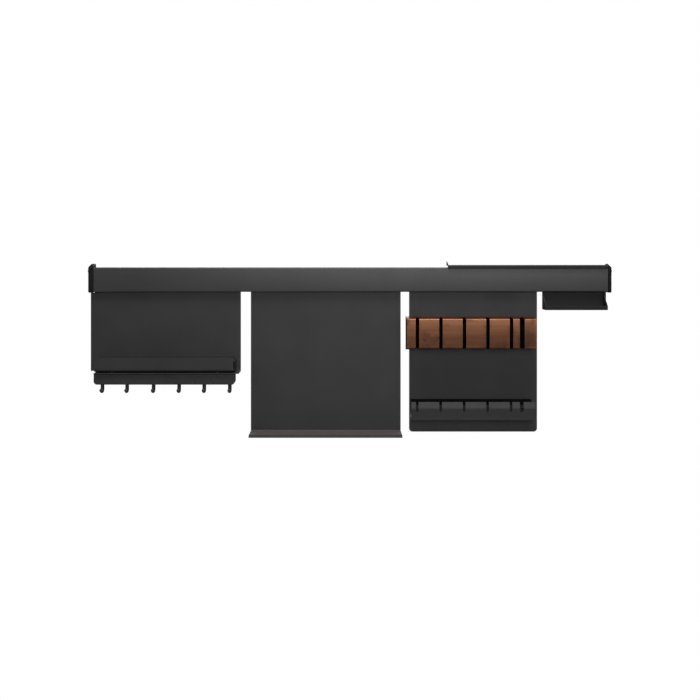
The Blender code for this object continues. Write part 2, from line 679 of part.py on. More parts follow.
def make_rack_module():
    panel = folded("rack_panel", hook_path() + [(PANEL_Y, RACK_PANEL_BOTTOM)],
                   *RACK_PANEL_X, "black_powder_coat")
    tab = (RACK_PANEL_X[0] + TAB_INSET, RACK_PANEL_X[1] - TAB_INSET)
    trim_tab(panel, *tab)
    round_corners("rack", [panel], RACK_PANEL_X, RACK_PANEL_BOTTOM, RACK_CORNER,
                  -0.030, -0.005, upwards=False)
    cover = make_rack_cover()
    guide = make_guide()
    liner = box("guide_liner",
                (GUIDE_X[0] + 0.0015, PANEL_FRONT - RUN - 0.0020, GUIDE_TOP - GUIDE_BACK_DROP + RUN),
                (GUIDE_X[1] - 0.0015, PANEL_FRONT - RUN, GUIDE_LINER_TOP), "black_rubber")
    lining = box("rack_liner", (RACK_X[0] + SHEET + 0.0005, RACK_LINER_FRONT, RACK_LINER_BOTTOM),
                 (RACK_X[1] - SHEET - 0.0005, RACK_LINER_FRONT + 0.0020, RACK_LINER_TOP), "black_rubber")
    members = [panel, cover, guide, liner, lining]
    rows = (("rack", cover, RACK_TOP_BACK - RACK_FLANGE + 0.0045), ("guide", guide, GUIDE_TOP - 0.018))
    for word, target, z in rows:
        for side, x in (("left", RACK_PANEL_X[0] + 0.034), ("right", RACK_PANEL_X[1] - 0.034)):
            hole = rod(f"{word}_hole_{side}", (x, PANEL_Y, z), "Y", 0.0019, 0.012, sides=12)
            cut(panel, hole)
            cut(target, hole)
            head_y = PANEL_BACK + RUN + 0.0009
            members.append(screw(f"{word}_rivet_{side}", (x, head_y, z), "Y", 1, 0.0062))
    members += glide_pair("rack_panel", *tab)
    members += buffer_pair("rack_panel", RACK_PANEL_X, -0.325)
    body_empty("rack_module_frame", (sum(RACK_PANEL_X) / 2, LIP_FRONT, LIP_TOP), members)


# ---------------------------------------------------------------- module 4: small clip tray
def make_clip_tray():
    floor = CLIP_TRAY_BOTTOM + SHEET / 2
    front = CLIP_TRAY_FRONT + SHEET / 2
    tray = folded(
        "clip_tray", hook_path() + [(PANEL_Y, floor), (front, floor), (front, CLIP_TRAY_LIP)],
        *CLIP_TRAY_X, "black_powder_coat", bend=0.002)
    cut(tray, box("clip_trim", (CLIP_BOX_RIGHT, CLIP_TRAY_FRONT - 0.01, CLIP_TRAY_BOTTOM - 0.01),
                  (CLIP_TRAY_X[1] + 0.01, PANEL_FRONT - 0.0004, CLIP_TRAY_LIP + 0.01)))
    cheek_outline = [(PANEL_Y, CLIP_CHEEK_TOP), (PANEL_Y, floor), (front, floor), (front, CLIP_TRAY_LIP)]
    for x, word in ((CLIP_TRAY_X[0], "left"), (CLIP_BOX_RIGHT - SHEET, "right")):
        join(tray, extrusion(f"clip_cheek_{word}", cheek_outline, x, x + SHEET))
    tab = (CLIP_TRAY_X[0] + TAB_INSET, CLIP_TAB_RIGHT)
    trim_tab(tray, *tab)
    mat = box("clip_tray_mat",
              (CLIP_TRAY_X[0] + 0.0025, CLIP_TRAY_FRONT + 0.0035, CLIP_TRAY_BOTTOM + SHEET + RUN),
              (CLIP_BOX_RIGHT - 0.0025, PANEL_FRONT - 0.0025, CLIP_TRAY_BOTTOM + SHEET + RUN + 0.0015),
              "black_rubber")
    middle = sum(tab) / 2
    members = [tray, mat, glide("clip_tray_glide", middle - 0.050, 0.100),
               wall_buffer("clip_tray_buffer", middle, -0.055)]
    body_empty("clip_tray_frame", (middle, LIP_FRONT, LIP_TOP), members)


# ---------------------------------------------------------------- top shelf
def make_top_shelf():
    plate = TOP_SHELF_Z - SHEET / 2
    front = TOP_SHELF_FRONT + SHEET / 2
    shelf = folded(
        "top_shelf", [(TOP_SHELF_BACK, plate), (front, plate), (front, TOP_SHELF_LIP_BOTTOM)],
        *TOP_SHELF_X, "black_cover_coat", bend=0.0018)
    tab_outline = [
        (TOP_SHELF_BACK, plate), (front + 0.003, plate), (front + 0.006, plate + 0.0025),
        (TOP_SHELF_BACK - 0.004, TOP_SHELF_Z + TAB_RISE), (TOP_SHELF_BACK, TOP_SHELF_Z + TAB_RISE)]
    join(shelf, extrusion("shelf_tab", tab_outline, TOP_SHELF_X[0], TOP_SHELF_X[0] + SHEET))
    pad_top = TOP_SHELF_Z - SHEET - RUN
    pad_bottom = FASCIA_HALF_HEIGHT + FASCIA_SHEET / 2 + RUN
    members = [shelf]
    for word, x in (("left", TOP_SHELF_X[0] + 0.014), ("right", TOP_SHELF_X[1] - 0.054)):
        members.append(box(f"top_shelf_glide_{word}",
                           (x, -0.0270, pad_bottom), (x + 0.040, -0.0080, pad_top),
                           "white_nylon", edge=0.0008, segments=1))
    body_empty("top_shelf_frame", (sum(TOP_SHELF_X) / 2, TOP_SHELF_FRONT, TOP_SHELF_Z), members)


make_rail()
make_tray_module()
make_ledge_module()
make_rack_module()
make_clip_tray()
make_top_shelf()
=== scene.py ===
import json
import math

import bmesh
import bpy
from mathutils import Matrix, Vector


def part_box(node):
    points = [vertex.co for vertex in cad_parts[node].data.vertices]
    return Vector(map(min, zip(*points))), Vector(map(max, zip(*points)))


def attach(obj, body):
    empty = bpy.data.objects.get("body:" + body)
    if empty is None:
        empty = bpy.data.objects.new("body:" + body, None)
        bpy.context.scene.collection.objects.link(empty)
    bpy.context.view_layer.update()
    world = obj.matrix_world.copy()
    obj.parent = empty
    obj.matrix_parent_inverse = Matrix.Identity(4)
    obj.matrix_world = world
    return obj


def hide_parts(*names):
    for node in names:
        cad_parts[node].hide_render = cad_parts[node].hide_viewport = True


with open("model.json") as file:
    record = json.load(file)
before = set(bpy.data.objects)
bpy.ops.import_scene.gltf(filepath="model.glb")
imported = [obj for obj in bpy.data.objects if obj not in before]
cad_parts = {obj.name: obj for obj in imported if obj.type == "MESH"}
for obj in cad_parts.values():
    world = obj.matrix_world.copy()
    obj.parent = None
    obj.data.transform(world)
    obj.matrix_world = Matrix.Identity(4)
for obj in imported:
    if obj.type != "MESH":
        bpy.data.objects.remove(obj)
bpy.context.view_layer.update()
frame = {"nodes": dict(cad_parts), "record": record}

# %% [markdown]
# # A wall styling station, finished in Blender
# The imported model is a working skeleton: a wall rail, four modules that hang on its lip, a
# lift-out tray, six loose hooks and a shelf that slides along the top. This lesson dresses that
# skeleton. We could paint the CAD meshes as they are, but their bends have only three steps and
# their cut edges are knife sharp. So each sheet is folded again here with fine bends and broken
# edges, in exactly the place that the frame gives.

# %% [markdown]
# ## Where things are
# Every position comes from the frame. Only what a box can't say, the thickness of a sheet or the
# radius of a bend, is a named number.

# %% Sizes that a box can't say
SHEET = 0.0015            # steel sheet of the modules
COVER_SHEET = 0.002       # sheet of the rail's cover
HOOK_END = 0.0055         # how far down the hook reaches behind the rail's lip
TAB_INSET = 0.010         # the hook tab is narrower than its panel
EDGE = 0.00035            # the broken edge left by deburring
ARC_STEPS = 8
WHOLE = 1.0               # deeper than the object, for cutters that run past it
SHOULDER = -0.0200        # beside the hook tab a panel is cut back to here, behind the rail's cover
CAP_SHOULDER = -0.0302    # under an end cap it is cut back further

panel_low, panel_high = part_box("rack_panel")
PANEL_MIDDLE = panel_low.y + SHEET / 2
HOOK_MIDDLE = panel_high.y - SHEET / 2
HOOK_TOP = panel_high.z - SHEET / 2
print(f"panels stand {-PANEL_MIDDLE * 1000:.1f} mm off the wall")

# %% [markdown]
# ## The camera
# The view is nearly straight on, a little above the rail and a little left of its middle. The
# lens is turned neither up nor sideways: the rail keeps level and its uprights stay parallel, as
# in a product picture, and a small lens shift places the object in the frame instead.

# %% Camera
CAMERA_DISTANCE = 2.430
CAMERA_LEFT = -0.034
CAMERA_HEIGHT = 0.0843
LENS = 53.83
SHIFT = (0.0214, -0.1529)


def make_camera():
    data = bpy.data.cameras.new("front_camera")
    data.lens = LENS
    data.sensor_width = 36.0
    data.shift_x, data.shift_y = SHIFT
    camera = bpy.data.objects.new("front_camera", data)
    camera.location = (CAMERA_LEFT, -CAMERA_DISTANCE, CAMERA_HEIGHT)
    camera.rotation_euler = (math.pi / 2, 0.0, 0.0)
    bpy.context.scene.collection.objects.link(camera)
    bpy.context.scene.camera = camera
    return camera


print("camera at", tuple(make_camera().location))

# %% [markdown]
# ## Studio
# Black powder coat has almost no colour of its own. What we see is what it reflects, so the
# lights do most of the drawing. A white background would wash the sheets out to grey, so the
# world is white only where the camera looks straight at it, and dim for everything else. Six soft
# lamps then draw the shapes: one above for the top edges, a large one and a low faint one in
# front for the panels, one to each side and one behind for the rims.

# %% World, floor and lamps
WORLD_SEEN = 1.0
WORLD_FELT = 0.02
FLOOR_DROP = 1.35
LAMPS = (
    # name, place, width, height, watts
    ("top_softbox", (0.10, -0.95, 1.95), 1.6, 0.8, 52.0),
    ("front_softbox", (0.40, -2.45, 0.42), 1.8, 0.9, 17.0),
    ("low_softbox", (0.05, -2.60, -0.52), 2.0, 0.35, 1.0),
    ("left_softbox", (-2.30, -1.60, 0.60), 1.0, 1.6, 14.0),
    ("right_softbox", (2.40, -1.70, 0.70), 1.0, 1.6, 3.0),
    ("back_softbox", (0.0, 2.40, 0.90), 2.4, 1.2, 20.0),
)


def make_world():
    world = bpy.data.worlds.new("studio")
    bpy.context.scene.world = world
    world.use_nodes = True
    nodes, links = world.node_tree.nodes, world.node_tree.links
    nodes.clear()
    seen, felt = nodes.new("ShaderNodeBackground"), nodes.new("ShaderNodeBackground")
    seen.inputs["Color"].default_value = (1.0, 1.0, 1.0, 1.0)
    seen.inputs["Strength"].default_value = WORLD_SEEN
    felt.inputs["Color"].default_value = (1.0, 1.0, 1.0, 1.0)
    felt.inputs["Strength"].default_value = WORLD_FELT
    path, mix = nodes.new("ShaderNodeLightPath"), nodes.new("ShaderNodeMixShader")
    out = nodes.new("ShaderNodeOutputWorld")
    links.new(path.outputs["Is Camera Ray"], mix.inputs[0])
    links.new(felt.outputs[0], mix.inputs[1])
    links.new(seen.outputs[0], mix.inputs[2])
    links.new(mix.outputs[0], out.inputs["Surface"])


def make_lamp(name, place, width, height, watts, target=(0.0, 0.0, -0.15)):
    data = bpy.data.lights.new(name, "AREA")
    data.shape = "RECTANGLE"
    data.size, data.size_y = width, height
    data.energy = watts
    lamp = bpy.data.objects.new(name, data)
    lamp.location = place
    aim = Vector(target) - Vector(place)
    lamp.rotation_euler = aim.to_track_quat("-Z", "Y").to_euler()
    bpy.context.scene.collection.objects.link(lamp)


def make_floor():
    """A pale floor well under the wall rail, behind the lower edge of the front view."""
    bpy.ops.mesh.primitive_plane_add(size=1.0, location=(0.0, -1.6, -FLOOR_DROP))
    floor = bpy.context.object
    floor.name = "studio_floor"
    floor.scale = (5.0, 4.2, 1.0)
    paint = bpy.data.materials.new("studio_floor_paint")
    paint.use_nodes = True
    shader = paint.node_tree.nodes["Principled BSDF"]
    shader.inputs["Base Color"].default_value = (0.86, 0.86, 0.86, 1.0)
    shader.inputs["Roughness"].default_value = 0.7
    floor.data.materials.append(paint)


make_world()
make_floor()
for lamp in LAMPS:
    make_lamp(*lamp)
bpy.context.scene.view_settings.view_transform = "Standard"
print(len(LAMPS), "lamps")

# %% [markdown]
# ## Effects that several finishes share
# Edge wear, coat texture, brushing, smudges and dust turn up on more than one material. Each is
# built once as a node group with its own inputs, and a finish places it with its own values. A
# group only puts out numbers and heights; the Principled shader stays in the material.

# %% Small helpers for node groups
def new_group(name, inputs, outputs):
    """An empty shader node group: inputs are (name, default), outputs are names."""
    group = bpy.data.node_groups.new(name, "ShaderNodeTree")
    for label, value in inputs:
        socket = group.interface.new_socket(label, in_out="INPUT", socket_type="NodeSocketFloat")
        socket.default_value = value
    for label in outputs:
        group.interface.new_socket(label, in_out="OUTPUT", socket_type="NodeSocketFloat")
    start = group.nodes.new("NodeGroupInput")
    end = group.nodes.new("NodeGroupOutput")
    return group, start, end


def feed(tree, source, socket):
    """Give an input a number, or link another node's output to it."""
    if isinstance(source, (int, float)):
        socket.default_value = source
    else:
        tree.links.new(source, socket)


def calculate(tree, operation, first, second, clamp=False):
    """A Math node; each operand is a socket or a number."""
    node = tree.nodes.new("ShaderNodeMath")
    node.operation = operation
    node.use_clamp = clamp
    feed(tree, first, node.inputs[0])
    feed(tree, second, node.inputs[1])
    return node.outputs[0]


def noise(tree, vector, scale, detail=3.0, roughness=0.5):
    """A Noise texture on a vector; scale is a number or a socket."""
    node = tree.nodes.new("ShaderNodeTexNoise")
    node.inputs["Detail"].default_value = detail
    node.inputs["Roughness"].default_value = roughness
    tree.links.new(vector, node.inputs["Vector"])
    feed(tree, scale, node.inputs["Scale"])
    return node.outputs["Fac"]


def ramp_between(tree, value, low, high):
    """Map a value from low..high to 0..1, clamped."""
    node = tree.nodes.new("ShaderNodeMapRange")
    tree.links.new(value, node.inputs["Value"])
    feed(tree, low, node.inputs["From Min"])
    feed(tree, high, node.inputs["From Max"])
    return node.outputs["Result"]


def own_coordinates(tree):
    """Coordinates in the piece's own metres, so that a pattern moves with the piece."""
    return tree.nodes.new("ShaderNodeTexCoord").outputs["Object"]


# %% Group: edge wear
def build_edge_wear():
    """Bright or dark lines where a rounded normal leaves the real one, broken up by grain."""
    group, start, end = new_group(
        "edge_wear", (("Radius", 0.0006), ("Grain", 260.0), ("Bite", 0.25)), ("Mask",))
    soft = group.nodes.new("ShaderNodeBevel")
    soft.samples = 4
    group.links.new(start.outputs["Radius"], soft.inputs["Radius"])
    hard = group.nodes.new("ShaderNodeNewGeometry")
    match = group.nodes.new("ShaderNodeVectorMath")
    match.operation = "DOT_PRODUCT"
    group.links.new(soft.outputs["Normal"], match.inputs[0])
    group.links.new(hard.outputs["Normal"], match.inputs[1])
    bend = calculate(group, "SUBTRACT", 1.0, match.outputs["Value"], clamp=True)
    grain = noise(group, own_coordinates(group), start.outputs["Grain"], detail=4.0)
    kept = calculate(group, "GREATER_THAN", grain, start.outputs["Bite"])
    worn = calculate(group, "MULTIPLY", calculate(group, "MULTIPLY", bend, 4.0, clamp=True), kept)
    group.links.new(worn, end.inputs["Mask"])
    return group


# %% Group: coat texture
def build_coat_texture():
    """The fine orange peel of powder coat, as a height and a slight change of tone."""
    group, start, end = new_group(
        "coat_texture", (("Scale", 900.0), ("Patch Scale", 14.0)), ("Height", "Tone"))
    here = own_coordinates(group)
    peel = noise(group, here, start.outputs["Scale"], detail=2.0, roughness=0.6)
    patch = noise(group, here, start.outputs["Patch Scale"], detail=3.0)
    group.links.new(peel, end.inputs["Height"])
    group.links.new(ramp_between(group, patch, 0.35, 0.65), end.inputs["Tone"])
    return group


# %% Group: brushing along the length
def build_brushing():
    """Long fine lines along X: noise that is stretched a hundred times."""
    group, start, end = new_group(
        "brushing", (("Along", 7.0), ("Across", 900.0), ("Broad", 120.0)), ("Lines", "Streaks"))
    here = own_coordinates(group)
    fields = []
    for across in ("Across", "Broad"):
        squeeze = group.nodes.new("ShaderNodeCombineXYZ")
        group.links.new(start.outputs["Along"], squeeze.inputs["X"])
        group.links.new(start.outputs[across], squeeze.inputs["Y"])
        group.links.new(start.outputs[across], squeeze.inputs["Z"])
        stretch = group.nodes.new("ShaderNodeVectorMath")
        stretch.operation = "MULTIPLY"
        group.links.new(here, stretch.inputs[0])
        group.links.new(squeeze.outputs[0], stretch.inputs[1])
        fields.append(noise(group, stretch.outputs[0], 1.0, detail=4.0, roughness=0.65))
    group.links.new(fields[0], end.inputs["Lines"])
    group.links.new(ramp_between(group, fields[1], 0.3, 0.7), end.inputs["Streaks"])
    return group


# %% Group: smudges from hands
def build_smudges():
    """Soft patches where hands and cloths have been, for roughness and tone."""
    group, start, end = new_group("smudges", (("Scale", 22.0), ("Cover", 0.52)), ("Mask",))
    here = own_coordinates(group)
    broad = noise(group, here, start.outputs["Scale"], detail=5.0, roughness=0.6)
    edge = calculate(group, "ADD", start.outputs["Cover"], 0.16)
    group.links.new(ramp_between(group, broad, start.outputs["Cover"], edge), end.inputs["Mask"])
    return group


# %% Group: dust on what faces up
def build_dust():
    """A thin pale film on faces that look up, thicker in patches."""
    group, start, end = new_group("dust", (("Amount", 0.5), ("Scale", 60.0)), ("Mask",))
    facing = group.nodes.new("ShaderNodeNewGeometry")
    split = group.nodes.new("ShaderNodeSeparateXYZ")
    group.links.new(facing.outputs["Normal"], split.inputs[0])
    upward = ramp_between(group, split.outputs["Z"], 0.55, 0.98)
    speck = noise(group, own_coordinates(group), start.outputs["Scale"], detail=6.0, roughness=0.7)
    film = calculate(group, "MULTIPLY", upward, ramp_between(group, speck, 0.3, 0.8))
    group.links.new(calculate(group, "MULTIPLY", film, start.outputs["Amount"]), end.inputs["Mask"])
    return group


EFFECTS = {
    "edge_wear": build_edge_wear(),
    "coat_texture": build_coat_texture(),
    "brushing": build_brushing(),
    "smudges": build_smudges(),
    "dust": build_dust(),
}
print("effects:", ", ".join(EFFECTS))


# %% Helpers for finishes
class Finish:
    """A material with one Principled shader, built by adding effects to it."""

    def __init__(self, name, roughness, metallic=0.0, **steady):
        self.material = bpy.data.materials.new(name)
        self.material.use_nodes = True
        self.tree = self.material.node_tree
        self.shader = self.tree.nodes["Principled BSDF"]
        self.shader.inputs["Roughness"].default_value = roughness
        self.shader.inputs["Metallic"].default_value = metallic
        for socket, value in steady.items():
            self.shader.inputs[socket.replace("_", " ")].default_value = value

    def effect(self, name, **values):
        """Place a shared group with this finish's own values."""
        node = self.tree.nodes.new("ShaderNodeGroup")
        node.node_tree = EFFECTS[name]
        for socket, value in values.items():
            node.inputs[socket.replace("_", " ")].default_value = value
        return node.outputs

    def blend(self, mask, base, over):
        """A colour that goes from base to over where the mask is 1."""
        node = self.tree.nodes.new("ShaderNodeMix")
        node.data_type = "RGBA"
        self.tree.links.new(mask, node.inputs["Factor"])
        for socket, colour in ((node.inputs[6], base), (node.inputs[7], over)):
            if isinstance(colour, tuple):
                socket.default_value = (*colour, 1.0)
            else:
                self.tree.links.new(colour, socket)
        return node.outputs[2]

    def colour(self, source):
        self.tree.links.new(source, self.shader.inputs["Base Color"])

    def roughness(self, mask, smooth, rough):
        node = self.tree.nodes.new("ShaderNodeMapRange")
        node.inputs["To Min"].default_value = smooth
        node.inputs["To Max"].default_value = rough
        self.tree.links.new(mask, node.inputs["Value"])
        self.tree.links.new(node.outputs["Result"], self.shader.inputs["Roughness"])

    def bump(self, height, strength, distance):
        node = self.tree.nodes.new("ShaderNodeBump")
        node.inputs["Strength"].default_value = strength
        node.inputs["Distance"].default_value = distance
        self.tree.links.new(height, node.inputs["Height"])
        self.tree.links.new(node.outputs["Normal"], self.shader.inputs["Normal"])


# %% [markdown]
# ## Black powder coat
# The modules are folded steel with a baked black powder coat. It isn't a pure black: the coat
# scatters a little, has a fine orange peel, shows hand marks as slightly duller patches, and goes
# pale along edges that tools knock. We could darken a single colour, but it would look like
# plastic; the peel in the normal is what makes a satin highlight break up the way a coat does.

# %% Finish: powder coat and the smoother cover coat
COAT_DARK = (0.0200, 0.0201, 0.0213)
COAT_LIGHT = (0.0240, 0.0241, 0.0253)
COAT_WORN = (0.070, 0.070, 0.072)
DUST_GREY = (0.100, 0.098, 0.094)
COVER_DARK = (0.0300, 0.0300, 0.0300)
COVER_LIGHT = (0.0340, 0.0340, 0.0340)


def coated_steel(name, dark, light, peel_scale, smooth, rough, peel, shine):
    finish = Finish(name, smooth, Specular_IOR_Level=shine)
    coat = finish.effect("coat_texture", Scale=peel_scale, Patch_Scale=11.0)
    marks = finish.effect("smudges", Scale=17.0, Cover=0.55)
    wear = finish.effect("edge_wear", Radius=0.0007, Grain=420.0, Bite=0.42)
    film = finish.effect("dust", Amount=0.22, Scale=90.0)
    body = finish.blend(coat["Tone"], dark, light)
    body = finish.blend(wear["Mask"], body, COAT_WORN)
    finish.colour(finish.blend(film["Mask"], body, DUST_GREY))
    finish.roughness(marks["Mask"], smooth, rough)
    finish.bump(coat["Height"], peel, 0.00012)
    return finish.material


POWDER_COAT = coated_steel("black_powder_coat_finish", COAT_DARK, COAT_LIGHT, 1100.0, 0.46, 0.54, 0.30, 0.40)
COVER_COAT = coated_steel("black_cover_coat_finish", COVER_DARK, COVER_LIGHT, 1500.0, 0.36, 0.42, 0.14, 0.50)
# The clip tray and the top shelf get a darker, duller copy of the coat: the darker colour is painted shade,
# the duller look is real roughness.
SHADED_COAT_DARK = (0.0085, 0.0085, 0.0090)
SHADED_COAT_LIGHT = (0.0110, 0.0110, 0.0115)
PAINTED_SHADE_COAT = coated_steel("dull_coat_finish", SHADED_COAT_DARK, SHADED_COAT_LIGHT, 1100.0, 0.50, 0.58, 0.30, 0.26)
print("coats:", POWDER_COAT.name, COVER_COAT.name, PAINTED_SHADE_COAT.name)

# %% [markdown]
# ## Brushed copper
# The rack's cover is a copper-coloured sheet that was drawn over an abrasive belt along its
# length. Brushing is directional, so its noise is stretched along X, and the highlight spreads
# across the lines. Anisotropy is one number for the whole sheet and sits on the shader's own
# socket. Handling leaves it darker and browner in patches, and bright where an edge has been
# rubbed.

# %% Finish: brushed copper
COPPER = (0.175, 0.075, 0.039)
COPPER_BRIGHT = (0.245, 0.106, 0.057)
COPPER_TARNISH = (0.110, 0.054, 0.034)
COPPER_RUBBED = (0.400, 0.250, 0.180)


def brushed_copper():
    finish = Finish("brushed_copper_finish", 0.38, 1.0, Anisotropic=0.45)
    lines = finish.effect("brushing", Along=6.0, Across=1400.0, Broad=170.0)
    marks = finish.effect("smudges", Scale=26.0, Cover=0.50)
    wear = finish.effect("edge_wear", Radius=0.0008, Grain=500.0, Bite=0.30)
    metal = finish.blend(lines["Streaks"], COPPER, COPPER_BRIGHT)
    metal = finish.blend(marks["Mask"], metal, COPPER_TARNISH)
    finish.colour(finish.blend(wear["Mask"], metal, COPPER_RUBBED))
    finish.roughness(marks["Mask"], 0.34, 0.46)
    finish.bump(lines["Lines"], 0.22, 0.00010)
    return finish.material


BRUSHED_COPPER = brushed_copper()

# %% [markdown]
# ## Nylon, rubber, leather and zinc
# The small parts need their own surfaces, because a view from behind or above shows them. Natural
# nylon lets a little light into its skin, rubber is matt and dusty, the ledge's liner is grained
# leather, and zinc plate is a bright, slightly cloudy metal.

# %% Finish: the small parts
def moulded_nylon(name, dark, light, roughness, **steady):
    finish = Finish(name, roughness, **steady)
    skin = finish.effect("coat_texture", Scale=700.0, Patch_Scale=40.0)
    wear = finish.effect("edge_wear", Radius=0.0006, Grain=300.0, Bite=0.5)
    body = finish.blend(skin["Tone"], dark, light)
    finish.colour(finish.blend(wear["Mask"], body, tuple(min(1.0, c * 1.8) for c in light)))
    finish.bump(skin["Height"], 0.18, 0.00010)
    return finish.material


def matt_rubber():
    finish = Finish("black_rubber_finish", 0.85)
    skin = finish.effect("coat_texture", Scale=1300.0, Patch_Scale=30.0)
    film = finish.effect("dust", Amount=0.35, Scale=140.0)
    body = finish.blend(skin["Tone"], (0.013, 0.013, 0.013), (0.022, 0.022, 0.021))
    finish.colour(finish.blend(film["Mask"], body, DUST_GREY))
    finish.bump(skin["Height"], 0.45, 0.00015)
    return finish.material


def painted_shade_foam():
    """A foam strip made near-black, darker than any coat and without shine: painted shade for the dark
    inside of the guide's trough and behind the rack's slots.
    """
    finish = Finish("black_foam_finish", 0.95, Specular_IOR_Level=0.06)
    cells = finish.effect("coat_texture", Scale=2400.0, Patch_Scale=60.0)
    finish.colour(finish.blend(cells["Tone"], (0.0030, 0.0030, 0.0032), (0.0055, 0.0055, 0.0057)))
    finish.bump(cells["Height"], 0.8, 0.00030)
    return finish.material


def zinc_plate():
    finish = Finish("zinc_steel_finish", 0.30, 1.0)
    cloud = finish.effect("smudges", Scale=300.0, Cover=0.45)
    lines = finish.effect("brushing", Along=900.0, Across=900.0, Broad=500.0)
    finish.colour(finish.blend(cloud["Mask"], (0.60, 0.60, 0.61), (0.46, 0.45, 0.43)))
    finish.roughness(cloud["Mask"], 0.26, 0.44)
    finish.bump(lines["Lines"], 0.10, 0.00008)
    return finish.material


def grained_leather():
    """Leather grain is a net of small cells with creases between them, which Voronoi gives."""
    finish = Finish("brown_liner_finish", 0.62, Sheen_Weight=0.12)
    tree = finish.tree
    cells = tree.nodes.new("ShaderNodeTexVoronoi")
    cells.feature = "DISTANCE_TO_EDGE"
    cells.inputs["Scale"].default_value = 620.0
    tree.links.new(own_coordinates(tree), cells.inputs["Vector"])
    crease = ramp_between(tree, cells.outputs["Distance"], 0.0, 0.22)
    marks = finish.effect("smudges", Scale=30.0, Cover=0.50)
    wear = finish.effect("edge_wear", Radius=0.0009, Grain=350.0, Bite=0.35)
    hide = finish.blend(crease, (0.018, 0.013, 0.011), (0.044, 0.032, 0.028))
    hide = finish.blend(marks["Mask"], hide, (0.036, 0.028, 0.024))
    finish.colour(finish.blend(wear["Mask"], hide, (0.140, 0.112, 0.096)))
    finish.bump(crease, 0.40, 0.00018)
    return finish.material


def waxed_thread():
    finish = Finish("liner_thread_finish", 0.60)
    lay = finish.effect("brushing", Along=400.0, Across=1600.0, Broad=900.0)
    finish.colour(finish.blend(lay["Streaks"], (0.060, 0.045, 0.038), (0.105, 0.080, 0.066)))
    finish.bump(lay["Lines"], 0.35, 0.00010)
    return finish.material


BLACK_NYLON = moulded_nylon("black_nylon_finish", (0.0040, 0.0040, 0.0041), (0.0065, 0.0065, 0.0065), 0.60,
                            Specular_IOR_Level=0.15)
WHITE_NYLON = moulded_nylon("white_nylon_finish", (0.55, 0.54, 0.50), (0.66, 0.65, 0.61), 0.42,
                            Subsurface_Weight=0.15)
RUBBER = matt_rubber()
ZINC = zinc_plate()
LEATHER = grained_leather()
THREAD = waxed_thread()
SHADE_FOAM = painted_shade_foam()
# The clip tray and the top shelf take the darker coat, which is painted shade.
# The two liners take the near-black foam, which is painted shade.
FINISH_OF_NODE = {"rack_liner": SHADE_FOAM, "guide_liner": SHADE_FOAM, "clip_tray": PAINTED_SHADE_COAT, "top_shelf": PAINTED_SHADE_COAT}
FINISH_OF_SLOT = {
    "black_powder_coat": POWDER_COAT,
    "black_cover_coat": COVER_COAT,
    "brushed_copper": BRUSHED_COPPER,
    "black_nylon": BLACK_NYLON,
    "white_nylon": WHITE_NYLON,
    "black_rubber": RUBBER,
    "zinc_steel": ZINC,
    "brown_liner": LEATHER,
}
print(len(FINISH_OF_SLOT), "finishes")

# %% [markdown]
# ## Paint the nodes that stay
# Some CAD pieces are already right: the rail's extruded channel, the nylon saddles inside the
# hooks and the end plugs. They keep their meshes and only change material. Painting every node
# first also means that nothing can be left in its plain CAD colour.

# %% Paint every node by its slot
slot_of_node = {entry["node"]: entry["material_slot"] for entry in frame["record"]["subparts"]}
body_of_node = {}
for body_name, members in frame["record"]["behaviour"]["bodies"].items():
    for member in members:
        body_of_node[member] = body_name


def finish_of(node):
    """A node's own finish if it has one, and otherwise the finish of its slot."""
    return FINISH_OF_NODE.get(node, FINISH_OF_SLOT[slot_of_node[node]])


for node_name, node_object in frame["nodes"].items():
    finish_here = finish_of(node_name)
    if not node_object.material_slots:
        node_object.data.materials.append(finish_here)
    for material_slot in node_object.material_slots:
        material_slot.material = finish_here
print(len(slot_of_node), "nodes painted")

# %% [markdown]
# ## Folding sheet metal
# A press brake makes a module from one flat blank: straight runs joined by small round bends. The
# same idea works here. A path in the side view is drawn as a flat curve, each corner is swapped
# for an arc, the curve's extrude sweeps it along the rail, and Solidify gives it the sheet's
# thickness on both sides of that path. Extruding a box face by face would reach the same shape,
# but its bends would have to be measured by hand each time.


# %% Paths with round corners
def rounded_path(points, radius, steps=ARC_STEPS):
    """The points of an open path, with an arc in place of each inner corner."""
    path = [Vector(points[0])]
    for before, corner, after in zip(points, points[1:], points[2:]):
        corner = Vector(corner)
        back = (Vector(before) - corner).normalized()
        ahead = (Vector(after) - corner).normalized()
        half_angle = back.angle(ahead) / 2
        centre = corner + (back + ahead).normalized() * (radius / math.sin(half_angle))
        start = corner + back * (radius / math.tan(half_angle)) - centre
        sweep = math.pi - 2 * half_angle
        side = 1.0 if back.x * ahead.y - back.y * ahead.x < 0 else -1.0
        for step in range(steps + 1):
            angle = side * sweep * step / steps
            turned = Vector((start.x * math.cos(angle) - start.y * math.sin(angle),
                             start.x * math.sin(angle) + start.y * math.cos(angle)))
            path.append(centre + turned)
    path.append(Vector(points[-1]))
    return path


# %% From a path to a swept mesh
def swept(name, points, x_low, x_high, closed=False):
    """A (y, z) path swept along X: a ribbon, or a solid bar if it is closed."""
    curve = bpy.data.curves.new(name, "CURVE")
    curve.dimensions = "2D"
    curve.fill_mode = "BOTH" if closed else "NONE"
    curve.extrude = (x_high - x_low) / 2
    spline = curve.splines.new("POLY")
    spline.points.add(len(points) - 1)
    for point, (y, z) in zip(spline.points, points):
        point.co = (y, z, 0.0, 1.0)
    spline.use_cyclic_u = closed
    guide = bpy.data.objects.new(name + "_path", curve)
    guide.rotation_euler = (math.pi / 2, 0.0, math.pi / 2)
    guide.location = ((x_low + x_high) / 2, 0.0, 0.0)
    bpy.context.scene.collection.objects.link(guide)
    bpy.context.view_layer.update()
    mesh = bpy.data.meshes.new_from_object(guide.evaluated_get(bpy.context.evaluated_depsgraph_get()))
    mesh.transform(guide.matrix_world)
    bpy.data.objects.remove(guide)
    return mesh_object(name, mesh, weld=0.00001)


